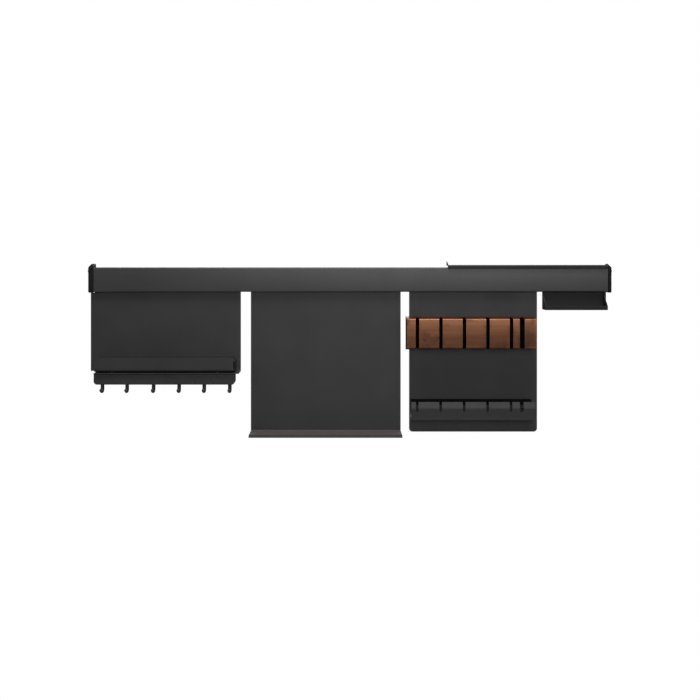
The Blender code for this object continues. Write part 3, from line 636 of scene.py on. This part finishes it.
def mesh_object(name, mesh, weld=0.0):
    """An object for a mesh whose points are already in place."""
    if weld:
        shape = bmesh.new()
        shape.from_mesh(mesh)
        bmesh.ops.remove_doubles(shape, verts=shape.verts, dist=weld)
        bmesh.ops.recalc_face_normals(shape, faces=shape.faces)
        shape.to_mesh(mesh)
        shape.free()
    obj = bpy.data.objects.new(name, mesh)
    bpy.context.scene.collection.objects.link(obj)
    return obj


# %% Freezing modifiers, cutting and joining
def settle(obj):
    """Put the result of an object's modifiers into its mesh."""
    bpy.context.view_layer.update()
    mesh = bpy.data.meshes.new_from_object(obj.evaluated_get(bpy.context.evaluated_depsgraph_get()))
    obj.modifiers.clear()
    obj.data = mesh
    return obj


def combine(target, tool, operation):
    """Cut a tool out of a target, or join it on, and remove the tool."""
    modifier = target.modifiers.new(operation.lower(), "BOOLEAN")
    modifier.operation = operation
    modifier.solver = "EXACT"
    modifier.object = tool
    settle(target)
    bpy.data.objects.remove(tool)
    return target


def thicken(obj, thickness=SHEET):
    sheet = obj.modifiers.new("sheet", "SOLIDIFY")
    sheet.thickness = thickness
    sheet.offset = 0.0
    sheet.use_even_offset = True
    return settle(obj)


def break_edges(obj, width=EDGE, segments=2, angle=30.0):
    """The small round that deburring leaves on every cut edge, kept as a live modifier."""
    modifier = obj.modifiers.new("broken_edges", "BEVEL")
    modifier.width = width
    modifier.segments = segments
    modifier.limit_method = "ANGLE"
    modifier.angle_limit = math.radians(angle)
    modifier.harden_normals = False
    obj.data.set_sharp_from_angle(angle=math.radians(angle))
    return obj


def block(name, low, high, edge=0.0, segments=4):
    """A block between two corners, with rounded edges if asked."""
    shape = bmesh.new()
    bmesh.ops.create_cube(shape, size=1.0)
    low, high = Vector(low), Vector(high)
    for vertex in shape.verts:
        vertex.co = Vector(a + (b - a) * (c + 0.5) for a, b, c in zip(low, high, vertex.co))
    if edge:
        bmesh.ops.bevel(shape, geom=shape.edges[:], offset=edge, segments=segments, profile=0.5,
                        affect="EDGES", clamp_overlap=True)
    mesh = bpy.data.meshes.new(name)
    shape.to_mesh(mesh)
    shape.free()
    return mesh_object(name, mesh)


def post(name, centre, axis, radius, length, sides=32):
    """A round bar along X, Y or Z about its centre."""
    shape = bmesh.new()
    bmesh.ops.create_cone(shape, cap_ends=True, segments=sides, radius1=radius, radius2=radius, depth=length)
    along = Vector([float(axis == letter) for letter in "XYZ"])
    turn = Vector((0, 0, 1)).rotation_difference(along).to_matrix().to_4x4()
    turn.translation = Vector(centre)
    bmesh.ops.transform(shape, matrix=turn, verts=shape.verts)
    mesh = bpy.data.meshes.new(name)
    shape.to_mesh(mesh)
    shape.free()
    return mesh_object(name, mesh)


# %% Handing a piece over to its body
def dress(piece, *nodes, finish=None):
    """Paint a piece, let it ride on the body of the nodes it stands for, and hide those nodes."""
    first = nodes[0]
    piece.data.materials.clear()
    piece.data.materials.append(finish or finish_of(first))
    for face in piece.data.polygons:
        face.material_index = 0
    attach(piece, body_of_node[first])
    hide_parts(*nodes)
    return piece


# %% [markdown]
# ## The rail's cover
# The long cover strip gives the station its one clean line. It is a sheet of 2 mm, folded back
# along the top to lie on the channel and hemmed along the bottom. A softer bend than the modules
# have makes the thin highlight along its upper edge.

# %% Rail cover
COVER_BEND = 0.0022
HEM = 0.006
cover_low, cover_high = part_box("rail_fascia")


def fold_cover():
    front = cover_low.y + COVER_SHEET / 2
    top, bottom = cover_high.z - COVER_SHEET / 2, cover_low.z + COVER_SHEET / 2
    path = [(cover_high.y, top), (front, top), (front, bottom), (front + HEM, bottom)]
    middle = swept("rail_cover", rounded_path(path, COVER_BEND), cover_low.x, cover_high.x)
    cover = thicken(middle, COVER_SHEET)
    return dress(break_edges(cover), "rail_fascia")


fold_cover()
print(f"cover is {(cover_high.x - cover_low.x) * 1000:.0f} mm long")

# %% [markdown]
# ## End caps and their screws
# The caps are moulded nylon, a little taller than the cover so that they hide its cut ends, and
# they rise towards the wall. A plain rounded bar would do from the front, but from the side a
# real cap shows a sunk panel and two counterbored screws, so both are cut in. Each screw is spun
# here: a domed head with a cross recess, and a shank.

# %% Screws and rivets
RECESS_ARM = 0.30         # width of the cross against the head's radius
RECESS_REACH = 0.62


def turned_head(name, radius, height, sides=40):
    """A low domed head standing on z = 0, as a spun profile."""
    profile = [(0.0, 0.0), (radius * 0.98, 0.0), (radius, height * 0.10), (radius, height * 0.32)]
    for step in range(1, 8):
        angle = math.pi / 2 * step / 8
        profile.append((radius * math.cos(angle), height * (0.32 + 0.68 * math.sin(angle))))
    profile.append((0.0, height))
    shape = bmesh.new()
    ring = [shape.verts.new((r, 0.0, z)) for r, z in profile]
    edges = [shape.edges.new(pair) for pair in zip(ring, ring[1:])]
    bmesh.ops.spin(shape, geom=ring + edges, cent=(0, 0, 0), axis=(0, 0, 1), angle=2 * math.pi, steps=sides)
    bmesh.ops.remove_doubles(shape, verts=shape.verts, dist=0.000005)
    bmesh.ops.recalc_face_normals(shape, faces=shape.faces)
    mesh = bpy.data.meshes.new(name)
    shape.to_mesh(mesh)
    shape.free()
    return mesh_object(name, mesh)


def fastener(node, axis, way, head_height, cross):
    """A screw or rivet in place of a CAD node: the head on the outer end, the shank behind it."""
    low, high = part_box(node)
    index = "XYZ".index(axis)
    across = [i for i in range(3) if i != index]
    radius = min(high[i] - low[i] for i in across) / 2
    head = turned_head(node + "_turned", radius, head_height)
    if cross:
        arm, reach, depth = radius * RECESS_ARM, radius * RECESS_REACH, head_height * 0.55
        for width, length in ((arm, reach), (reach, arm)):
            recess = block("recess", (-width, -length, head_height - depth),
                           (width, length, head_height * 2))
            combine(head, recess, "DIFFERENCE")
    length = high[index] - low[index]
    shank_radius = radius * 0.44
    shank = post("shank", (0.0, 0.0, -(length - head_height) / 2 + 0.0001), "Z", shank_radius,
                 length - head_height + 0.0002, sides=20)
    combine(head, shank, "UNION")
    base = [(a + b) / 2 for a, b in zip(low, high)]
    base[index] = high[index] - head_height if way > 0 else low[index] + head_height
    direction = Vector((0.0, 0.0, 0.0))
    direction[index] = way
    turn = Vector((0, 0, 1)).rotation_difference(direction).to_matrix().to_4x4()
    turn.translation = Vector(base)
    head.data.transform(turn)
    head.data.set_sharp_from_angle(angle=math.radians(38))
    return dress(head, node)


# %% End caps
CAP_ROUND = 0.0024
CAP_RISE = 0.0070         # how much higher the cap is at the wall than at its front
CAP_PANEL_INSET = 0.0045
CAP_PANEL_DEPTH = 0.0009


def mould_cap(word, side):
    node = f"end_cap_{word}"
    low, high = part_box(node)
    front_top = high.z - CAP_RISE
    outline = [(high.y, low.z), (low.y, low.z), (low.y, front_top), (high.y, high.z)]
    cap = settle(break_edges(swept(f"{node}_moulded", outline, low.x, high.x, closed=True), CAP_ROUND, 6))
    face = high.x if side > 0 else low.x
    inner = face - side * CAP_PANEL_DEPTH
    outer = face + side * 0.01
    panel_low = (min(inner, outer), low.y + CAP_PANEL_INSET, low.z + CAP_PANEL_INSET)
    panel_high = (max(inner, outer), high.y - CAP_PANEL_INSET, front_top - CAP_PANEL_INSET)
    combine(cap, block("sunk_panel", panel_low, panel_high), "DIFFERENCE")
    for level in ("upper", "lower"):
        screw_low, screw_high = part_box(f"cap_screw_{word}_{level}")
        middle = (screw_low + screw_high) / 2
        clear = post("clear", (face, middle.y, middle.z), "X", 0.0020, 0.060)
        combine(cap, clear, "DIFFERENCE")
        fastener(f"cap_screw_{word}_{level}", "X", side, 0.0018, cross=True)
    return dress(break_edges(cap, 0.0003, 2), node)


for cap_word, cap_side in (("left", -1), ("right", 1)):
    mould_cap(cap_word, cap_side)
for wall_screw in [n for n in slot_of_node if n.startswith("wall_screw")]:
    fastener(wall_screw, "Y", -1, 0.0028, cross=True)
print("caps and screws done")

# %% [markdown]
# ## Panels that hook over the rail
# All four modules share one top: the sheet runs up behind the cover, folds over the rail's lip
# and comes down behind it. Only a narrower tab enters the rail, so the blank is cut back at both
# shoulders. What differs is how each one ends at the bottom, so one function makes the hook and
# takes the rest of the path as an argument.


# %% Folded panels
def hook_start():
    return [(HOOK_MIDDLE, HOOK_END), (HOOK_MIDDLE, HOOK_TOP), (PANEL_MIDDLE, HOOK_TOP)]


def fold_panel(name, node, rest_of_path, bend, left_shoulder=SHOULDER, left_tab=None, right_tab=None):
    """A module's sheet: the shared hook, then its own path, with the blank cut back beside the tab."""
    low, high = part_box(node)
    panel = thicken(swept(name, rounded_path(hook_start() + rest_of_path, bend), low.x, high.x))
    left_tab = left_tab or low.x + TAB_INSET
    right_tab = right_tab or high.x - TAB_INSET
    top = HOOK_TOP + 0.01
    sides = ((low.x - 0.01, left_tab, left_shoulder), (right_tab, high.x + 0.01, SHOULDER))
    for x_low, x_high, shoulder in sides:
        notch = block("notch", (x_low, PANEL_MIDDLE - 0.01, shoulder), (x_high, 0.0, top))
        combine(panel, notch, "DIFFERENCE")
    return panel


def drill(target, x, y, z, axis, radius, depth=0.012):
    return combine(target, post("drill", (x, y, z), axis, radius, depth, sides=24), "DIFFERENCE")


def trim(target, low, high):
    """Shear a block away."""
    return combine(target, block("trim", low, high), "DIFFERENCE")


def round_corner(target, x, side, edge_z, radius, upper=False):
    """Round a corner in the front view, right through the piece, as a corner-rounding die does."""
    middle_z = edge_z - radius if upper else edge_z + radius
    beyond_z = edge_z + 0.01 if upper else edge_z - 0.01
    waste = block("waste", (min(x - side * radius, x + side * 0.01), -WHOLE / 8, min(middle_z, beyond_z)),
                  (max(x - side * radius, x + side * 0.01), 0.01, max(middle_z, beyond_z)))
    keep = post("keep", (x - side * radius, 0.0, middle_z), "Y", radius, WHOLE, sides=64)
    combine(waste, keep, "DIFFERENCE")
    return combine(target, waste, "DIFFERENCE")


# %% [markdown]
# ## Module 1: tray panel with a hook rail
# The left module carries a shelf plate with a loose tray on it, and a C-shaped rail under it for
# sliding hooks. Its panel reaches under the end cap, so the plate is sheared shorter than the
# panel at that side. The tray is its own body, because it lifts out; its two ends are separate
# plates welded into the fold.

# %% Tray panel
SHELF_LEFT = -0.5780
TRAY_TAB_LEFT = -0.5878
tray_panel_low, tray_panel_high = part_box("tray_panel")
tray_low, tray_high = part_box("lift_out_tray")
strip_low, strip_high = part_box("hook_rail")


def fold_tray_panel():
    shelf = strip_high.z + 0.0003 + SHEET / 2
    panel = fold_panel("tray_panel_folded", "tray_panel", [(PANEL_MIDDLE, shelf), (tray_panel_low.y, shelf)],
                       0.0025, left_shoulder=CAP_SHOULDER, left_tab=TRAY_TAB_LEFT)
    trim(panel, (tray_panel_low.x - 0.01, tray_panel_low.y - 0.01, shelf - 0.01),
         (SHELF_LEFT, panel_low.y - 0.0004, shelf + 0.01))
    for word in ("left", "right"):
        rivet_low, rivet_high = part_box(f"hook_rail_rivet_{word}")
        middle = (rivet_low + rivet_high) / 2
        drill(panel, middle.x, middle.y, shelf, "Z", 0.0019)
    return dress(break_edges(panel), "tray_panel")


fold_tray_panel()

# %% Lift-out tray
TRAY_BEND = 0.007
TRAY_CORNER = 0.008


def fold_tray():
    """Sheet folded up at front and back, end plates welded in, upper corners rounded."""
    front, back = tray_low.y + SHEET / 2, tray_high.y - SHEET / 2
    floor, rim = tray_low.z + SHEET / 2, tray_high.z
    path = [(back, rim), (back, floor), (front, floor), (front, rim)]
    tray = thicken(swept("lift_out_tray_folded", rounded_path(path, TRAY_BEND), tray_low.x, tray_high.x))
    end_path = [(tray_high.y, rim - TRAY_CORNER), (tray_high.y, tray_low.z), (tray_low.y, tray_low.z),
                (tray_low.y, rim - TRAY_CORNER)]
    outline = rounded_path(end_path, TRAY_BEND + SHEET / 2)
    for side, x in ((-1, tray_low.x), (1, tray_high.x)):
        plate = swept("end_plate", outline, min(x, x - side * SHEET), max(x, x - side * SHEET), closed=True)
        combine(tray, plate, "UNION")
        round_corner(tray, x, side, rim, TRAY_CORNER, upper=True)
    return dress(break_edges(tray), "lift_out_tray")


fold_tray()

# %% [markdown]
# ## Ribbed rubber mats
# Both trays have a rubber mat, so that steel tools don't slide or ring. Its ribs are real
# geometry: a comb-shaped section swept along X. A bump texture would look right from above, but
# not along the mat's cut edge.


# %% Mats
def rib_mat(node, pitch=0.0030, groove=0.35):
    """A mat with ribs along X: each rib is a step in the swept section."""
    low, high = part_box(node)
    base = low.z + (high.z - low.z) * 0.45
    count = int((high.y - low.y) / pitch)
    step = (high.y - low.y) / count
    section = [(low.y, low.z)]
    for index in range(count):
        y = low.y + step * index
        gap = step * groove / 2
        section += [(y, base), (y + gap, base), (y + gap * 1.5, high.z), (y + step - gap * 1.5, high.z),
                    (y + step - gap, base)]
    section += [(high.y, base), (high.y, low.z)]
    mat = swept(node + "_ribbed", section, low.x, high.x, closed=True)
    return dress(mat, node)


for mat_node in ("tray_mat", "clip_tray_mat"):
    rib_mat(mat_node)
print("mats ribbed")

# %% [markdown]
# ## Hook rail and loose hooks
# The rail under the shelf is bent to a C with inturned lips. Each hook has a flat head that runs
# inside on those lips, a short stem, and a round foot that rises to the front. Their spacing is
# uneven because they are loose. A round bar is a curve with a bevel depth, which follows the bend
# without a twist; a few smaller rings at its end make the domed tip.

# %% Hook rail
RAIL_LIP = 0.0065
RAIL_CORNER = 0.008


def fold_hook_rail():
    front, back = strip_low.y + SHEET / 2, strip_high.y - SHEET / 2
    floor, roof = strip_low.z + SHEET / 2, strip_high.z - SHEET / 2
    path = [(front + RAIL_LIP, floor), (front, floor), (front, roof), (back, roof), (back, floor),
            (back - RAIL_LIP, floor)]
    strip = thicken(swept("hook_rail_folded", rounded_path(path, 0.002), strip_low.x, strip_high.x))
    for word in ("left", "right"):
        rivet_low, rivet_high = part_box(f"hook_rail_rivet_{word}")
        middle = (rivet_low + rivet_high) / 2
        drill(strip, middle.x, middle.y, roof, "Z", 0.0019, depth=0.006)
        fastener(f"hook_rail_rivet_{word}", "Z", 1, 0.0010, cross=False)
    for side, x in ((-1, strip_low.x), (1, strip_high.x)):
        round_corner(strip, x, side, strip_low.z, RAIL_CORNER)
    return dress(break_edges(strip), "hook_rail")


fold_hook_rail()

# %% Loose hooks
HOOK_RADIUS = 0.00425
HOOK_BEND = 0.0060
HOOK_HEAD = 0.0035
HOOK_HEAD_HALF = 0.0095
HOOK_CORNER_DROP = 0.0203 # from the head's seat to where the lines of stem and foot meet
HOOK_FOOT = Vector((-math.cos(math.radians(25.0)), math.sin(math.radians(25.0)))) * 0.0182


def round_bar(name, x, points, radius, bend):
    """A round bar along a (y, z) path at one X, with a domed end."""
    path = rounded_path(points, bend, 14)
    end = path.pop()
    along = (end - path[-1]).normalized() * radius
    rings = [(point, 1.0) for point in path]
    for step in range(9):
        angle = math.pi / 2 * step / 8.5
        rings.append((end - along * (1 - math.sin(angle)), math.cos(angle)))
    line = bpy.data.curves.new(name, "CURVE")
    line.dimensions = "3D"
    line.bevel_depth = radius
    line.bevel_resolution = 6
    line.use_fill_caps = True
    spline = line.splines.new("POLY")
    spline.points.add(len(rings) - 1)
    for point, ((y, z), size) in zip(spline.points, rings):
        point.co = (x, y, z, 1.0)
        point.radius = size
    guide = bpy.data.objects.new(name + "_line", line)
    bpy.context.scene.collection.objects.link(guide)
    bpy.context.view_layer.update()
    mesh = bpy.data.meshes.new_from_object(guide.evaluated_get(bpy.context.evaluated_depsgraph_get()))
    bpy.data.objects.remove(guide)
    return mesh_object(name, mesh, weld=0.00001)


def bend_hook(node):
    """One hook: the bent round bar and, joined on its upper end, the flat head that rides on the lips."""
    low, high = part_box(node)
    x = (low.x + high.x) / 2
    stem, seat = high.y - HOOK_HEAD_HALF, high.z - HOOK_HEAD
    corner = Vector((stem, seat - HOOK_CORNER_DROP))
    path = [(stem, seat + HOOK_HEAD / 2), tuple(corner), tuple(corner + HOOK_FOOT)]
    hook = round_bar(node + "_bent", x, path, HOOK_RADIUS, HOOK_BEND)
    head = block("head", (low.x, stem - HOOK_HEAD_HALF, seat), (high.x, high.y, high.z),
                 edge=0.0006, segments=3)
    combine(hook, head, "UNION")
    hook.data.set_sharp_from_angle(angle=math.radians(50))
    return dress(hook, node)


for hook_node in [n for n in slot_of_node if n.startswith("hook_") and n[5:].isdigit()]:
    bend_hook(hook_node)
print("hooks bent")

# %% [markdown]
# ## Module 2: ledge panel with a leather liner
# The middle module is a plain panel that ends in a deep ledge. The ledge is lined with brown
# leather, so that a mirror or a bottle doesn't scratch the coat. The liner is a soft sheet: its
# rim is rolled over, and a row of stitches runs just inside it. The stitches are little capsules
# of thread, laid out by a loop.

# %% Ledge panel
ledge_low, ledge_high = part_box("ledge_panel")
liner_low, liner_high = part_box("ledge_liner")


def fold_ledge_panel():
    plate = liner_low.z - 0.0003 - SHEET / 2
    front = ledge_low.y + SHEET / 2
    rest = [(PANEL_MIDDLE, plate), (front, plate), (front, ledge_low.z)]
    return dress(break_edges(fold_panel("ledge_panel_folded", "ledge_panel", rest, 0.0016)), "ledge_panel")


fold_ledge_panel()

# %% Liner and stitches
STITCH_PITCH = 0.0046
STITCH_LENGTH = 0.0032
STITCH_RADIUS = 0.00042
STITCH_INSET = 0.0040


def cut_liner():
    liner = block("ledge_liner_leather", liner_low, liner_high)
    liner.data.materials.clear()
    return dress(break_edges(liner, 0.0007, 4), "ledge_liner")


def stitch_run(shape, start, end, height):
    """Capsules of thread from start to end at one height."""
    along = Vector((end[0] - start[0], end[1] - start[1], 0.0))
    count = max(1, round(along.length / STITCH_PITCH))
    heading = along.normalized()
    turn = Vector((0, 0, 1)).rotation_difference(heading).to_matrix().to_4x4()
    for index in range(count):
        centre = Vector((*start, height)) + along * ((index + 0.5) / count)
        made = bmesh.ops.create_icosphere(shape, subdivisions=2, radius=STITCH_RADIUS)["verts"]
        for vertex in made:
            if vertex.co.z > 0:
                vertex.co.z += STITCH_LENGTH / 2
            elif vertex.co.z < 0:
                vertex.co.z -= STITCH_LENGTH / 2
        place = turn.copy()
        place.translation = centre
        bmesh.ops.transform(shape, matrix=place, verts=made)
    return count


def stitch_liner():
    left, right = liner_low.x + STITCH_INSET, liner_high.x - STITCH_INSET
    front, back = liner_low.y + STITCH_INSET, liner_high.y - STITCH_INSET
    shape = bmesh.new()
    corners = [(left, front), (right, front), (right, back), (left, back)]
    total = 0
    for start, end in zip(corners, corners[1:] + corners[:1]):
        total += stitch_run(shape, start, end, liner_high.z - STITCH_RADIUS * 0.35)
    for face in shape.faces:
        face.smooth = True
    mesh = bpy.data.meshes.new("ledge_liner_stitches")
    shape.to_mesh(mesh)
    shape.free()
    stitches = mesh_object("ledge_liner_stitches", mesh)
    stitches.data.materials.append(THREAD)
    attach(stitches, "ledge_module")
    return total


cut_liner()
print(stitch_liner(), "stitches")

# %% [markdown]
# ## Module 3: the slotted tool rack
# The copper cover is the station's eye-catcher. It is a shallow box section, wider at its face
# than at its foot, with six slots that cut it into fingers from top to underside; a tool's neck
# drops into one. Each slot's edge is broken more generously than elsewhere, because hands and
# tools touch it, and that makes the thin bright lines beside the slots.

# %% Rack panel
rack_low, rack_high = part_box("rack_cover")
guide_low, guide_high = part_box("guide_trough")
openings = {entry["name"]: entry["box_m"] for entry in frame["record"]["physics"]["openings"]}
RIVET_NODES = [f"{word}_rivet_{side}" for word in ("rack", "guide") for side in ("left", "right")]


def drill_for_rivets(target, word):
    for side in ("left", "right"):
        low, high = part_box(f"{word}_rivet_{side}")
        drill(target, (low.x + high.x) / 2, PANEL_MIDDLE, (low.z + high.z) / 2, "Y", 0.0019)


def fold_rack_panel():
    panel = fold_panel("rack_panel_folded", "rack_panel", [(PANEL_MIDDLE, panel_low.z)], 0.0025)
    for side, x in ((-1, panel_low.x), (1, panel_high.x)):
        round_corner(panel, x, side, panel_low.z, 0.008)
    for word in ("rack", "guide"):
        drill_for_rivets(panel, word)
    return dress(break_edges(panel), "rack_panel")


fold_rack_panel()

# %% Copper cover
FACE_BOTTOM = -0.1490
FACE_TURN = Vector((0.0040, -0.0045))     # how far the face turns back, and down, before the underside
TOP_SLOPE = 0.0026
FLANGE = 0.012
SLOT_BACK = -0.0300
SLOT_BOTTOM = -0.1650     # below the rack, so each slot runs out through its underside
SLOT_MARGIN = 0.0008


def fold_rack_cover():
    """The box section, its end plates, and one beveled cutter for each slot."""
    flange = panel_low.y - 0.0003 - SHEET / 2
    front = rack_low.y + SHEET / 2
    top = rack_high.z
    turn = tuple(Vector((front, FACE_BOTTOM)) + FACE_TURN)
    path = [(flange, top - FLANGE), (flange, top - SHEET / 2), (front, top - TOP_SLOPE - SHEET / 2),
            (front, FACE_BOTTOM), turn, (flange, rack_low.z + SHEET / 2),
            (flange, rack_low.z + FLANGE + 0.004)]
    cover = thicken(swept("rack_cover_copper", rounded_path(path, 0.003), rack_low.x, rack_high.x))
    end_path = [(flange, top - SHEET), (front, top - TOP_SLOPE - SHEET), (front, FACE_BOTTOM), turn,
                (flange, rack_low.z + SHEET)]
    for x in (rack_low.x, rack_high.x - SHEET):
        combine(cover, swept("end_plate", end_path, x, x + SHEET, closed=True), "UNION")
    for index in range(1, 7):
        low, high = openings[f"rack_slot_{index}"]
        left, right = low[0] - SLOT_MARGIN, high[0] + SLOT_MARGIN
        cutter = block("slot_cutter", (left, rack_low.y - 0.02, SLOT_BOTTOM), (right, SLOT_BACK, top + 0.02),
                       edge=(right - left) * 0.46, segments=8)
        combine(cover, cutter, "DIFFERENCE")
    drill_for_rivets(cover, "rack")
    return dress(break_edges(cover, 0.0006, 3), "rack_cover")


fold_rack_cover()

# %% [markdown]
# ## The lower guide
# Under the rack a gutter-shaped guide keeps the tools' tips from swinging. Its belly slants back
# to a floor that is one big bend, which is why its face darkens downwards, and its front lip has
# a slot under every slot of the rack. The foam strips behind the slots and behind the lip are
# painted shade, near-black for the dark inside of the trough and slots; they keep their CAD
# meshes: flat strips need no detail.

# %% Guide trough
GUIDE_BEND = 0.0180
GUIDE_BACK_DROP = 0.0120
GUIDE_CHEST = -0.2925     # the lip leans back above this height, the belly below it
GUIDE_LEAN = 0.0050
GUIDE_BELLY = 0.0120
GUIDE_SLOT_MARGIN = 0.0006
GUIDE_SLOT_BOTTOM = -0.2990


def fold_guide():
    back = panel_low.y - 0.0003 - SHEET / 2
    front = guide_low.y + SHEET / 2
    floor = guide_low.z + SHEET / 2
    path = [(back, guide_high.z - GUIDE_BACK_DROP), (back, floor), (front + GUIDE_BELLY, floor),
            (front, GUIDE_CHEST), (front + GUIDE_LEAN, guide_high.z)]
    middle = swept("guide_trough_folded", rounded_path(path, GUIDE_BEND, 14), guide_low.x, guide_high.x)
    guide = thicken(middle)
    for index in range(1, 7):
        low, high = openings[f"guide_slot_{index}"]
        left, right = low[0] - GUIDE_SLOT_MARGIN, high[0] + GUIDE_SLOT_MARGIN
        cutter = block("slot_cutter", (left, guide_low.y - 0.01, GUIDE_SLOT_BOTTOM),
                       (right, guide_low.y + 0.009, guide_high.z + 0.02),
                       edge=(right - left) * 0.46, segments=8)
        combine(guide, cutter, "DIFFERENCE")
    drill_for_rivets(guide, "guide")
    return dress(break_edges(guide, 0.0004), "guide_trough")


fold_guide()
for rivet_node in RIVET_NODES:
    fastener(rivet_node, "Y", 1, 0.0018, cross=False)
print("rack and guide done")

# %% [markdown]
# ## Module 4: the clip tray
# The small tray at the right end is one fold as well, with two cheeks that slope from the rail to
# its low lip. Its back panel is a little wider than its floor, which stops at the right cheek.

# %% Clip tray
CLIP_TAB_RIGHT = 0.5895
CLIP_BOX_RIGHT = 0.5850
CLIP_CHEEK_TOP = -0.0302
CLIP_LIP = 0.0096
clip_low, clip_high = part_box("clip_tray")


def fold_clip_tray():
    floor, front = clip_low.z + SHEET / 2, clip_low.y + SHEET / 2
    lip = clip_low.z + CLIP_LIP
    rest = [(PANEL_MIDDLE, floor), (front, floor), (front, lip)]
    tray = fold_panel("clip_tray_folded", "clip_tray", rest, 0.002, right_tab=CLIP_TAB_RIGHT)
    trim(tray, (CLIP_BOX_RIGHT, clip_low.y - 0.01, clip_low.z - 0.01),
         (WHOLE, panel_low.y - 0.0004, lip + 0.01))
    cheek_outline = [(PANEL_MIDDLE, CLIP_CHEEK_TOP), (PANEL_MIDDLE, floor), (front, floor), (front, lip)]
    for x in (clip_low.x, CLIP_BOX_RIGHT - SHEET):
        combine(tray, swept("cheek", cheek_outline, x, x + SHEET, closed=True), "UNION")
    return dress(break_edges(tray), "clip_tray")


fold_clip_tray()

# %% [markdown]
# ## The top shelf
# A thin shelf lies on the rail's top at the right and slides along it on two nylon pads. Its
# front edge turns down over the cover, and a small tab rises at its left end towards the wall, so
# that combs can't roll off.

# %% Top shelf
shelf_low, shelf_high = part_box("top_shelf")
TAB_RISE = 0.0080


def fold_top_shelf():
    top = shelf_high.z - TAB_RISE
    plate, front, back = top - SHEET / 2, shelf_low.y + SHEET / 2, shelf_high.y
    path = [(back, plate), (front, plate), (front, shelf_low.z)]
    shelf = thicken(swept("top_shelf_folded", rounded_path(path, 0.0018), shelf_low.x, shelf_high.x))
    tab = [(back, plate), (front + 0.003, plate), (front + 0.006, plate + 0.0025),
           (back - 0.004, shelf_high.z),
           (back, shelf_high.z)]
    combine(shelf, swept("tab", tab, shelf_low.x, shelf_low.x + SHEET, closed=True), "UNION")
    return dress(break_edges(shelf), "top_shelf")


fold_top_shelf()

# %% [markdown]
# ## Wall buffers
# Rubber feet on the back of each panel keep it parallel to the wall. From behind they are the
# nearest thing to the eye, so each gets a domed pad, a waist and two grip rings, spun from one
# profile.


# %% Buffers
def turn_buffer(node):
    low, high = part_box(node)
    radius, length = (high.x - low.x) / 2, high.y - low.y
    profile = [(0.0, 0.0), (radius * 0.80, 0.0), (radius * 0.97, length * 0.08), (radius, length * 0.16)]
    for step in range(3):
        z = 0.24 + 0.20 * step
        profile += [(radius * 0.90, length * z), (radius * 0.90, length * (z + 0.05)),
                    (radius, length * (z + 0.09))]
    profile += [(radius, length * 0.97), (radius * 0.96, length), (0.0, length)]
    shape = bmesh.new()
    ring = [shape.verts.new((r, 0.0, z)) for r, z in profile]
    edges = [shape.edges.new(pair) for pair in zip(ring, ring[1:])]
    bmesh.ops.spin(shape, geom=ring + edges, cent=(0, 0, 0), axis=(0, 0, 1), angle=2 * math.pi, steps=48)
    bmesh.ops.remove_doubles(shape, verts=shape.verts, dist=0.000005)
    bmesh.ops.recalc_face_normals(shape, faces=shape.faces)
    turn = Vector((0, 0, 1)).rotation_difference(Vector((0, -1, 0))).to_matrix().to_4x4()
    turn.translation = Vector(((low.x + high.x) / 2, high.y, (low.z + high.z) / 2))
    bmesh.ops.transform(shape, matrix=turn, verts=shape.verts)
    mesh = bpy.data.meshes.new(node + "_turned")
    shape.to_mesh(mesh)
    shape.free()
    buffer = mesh_object(node + "_turned", mesh)
    buffer.data.set_sharp_from_angle(angle=math.radians(40))
    return dress(buffer, node)


for buffer_node in [n for n in slot_of_node if "buffer" in n]:
    turn_buffer(buffer_node)
print("buffers turned")

# %% [markdown]
# ## Update the scene
# The visual model has to stay inside the CAD model's box.

# %% Update the view layer
bpy.context.view_layer.update()
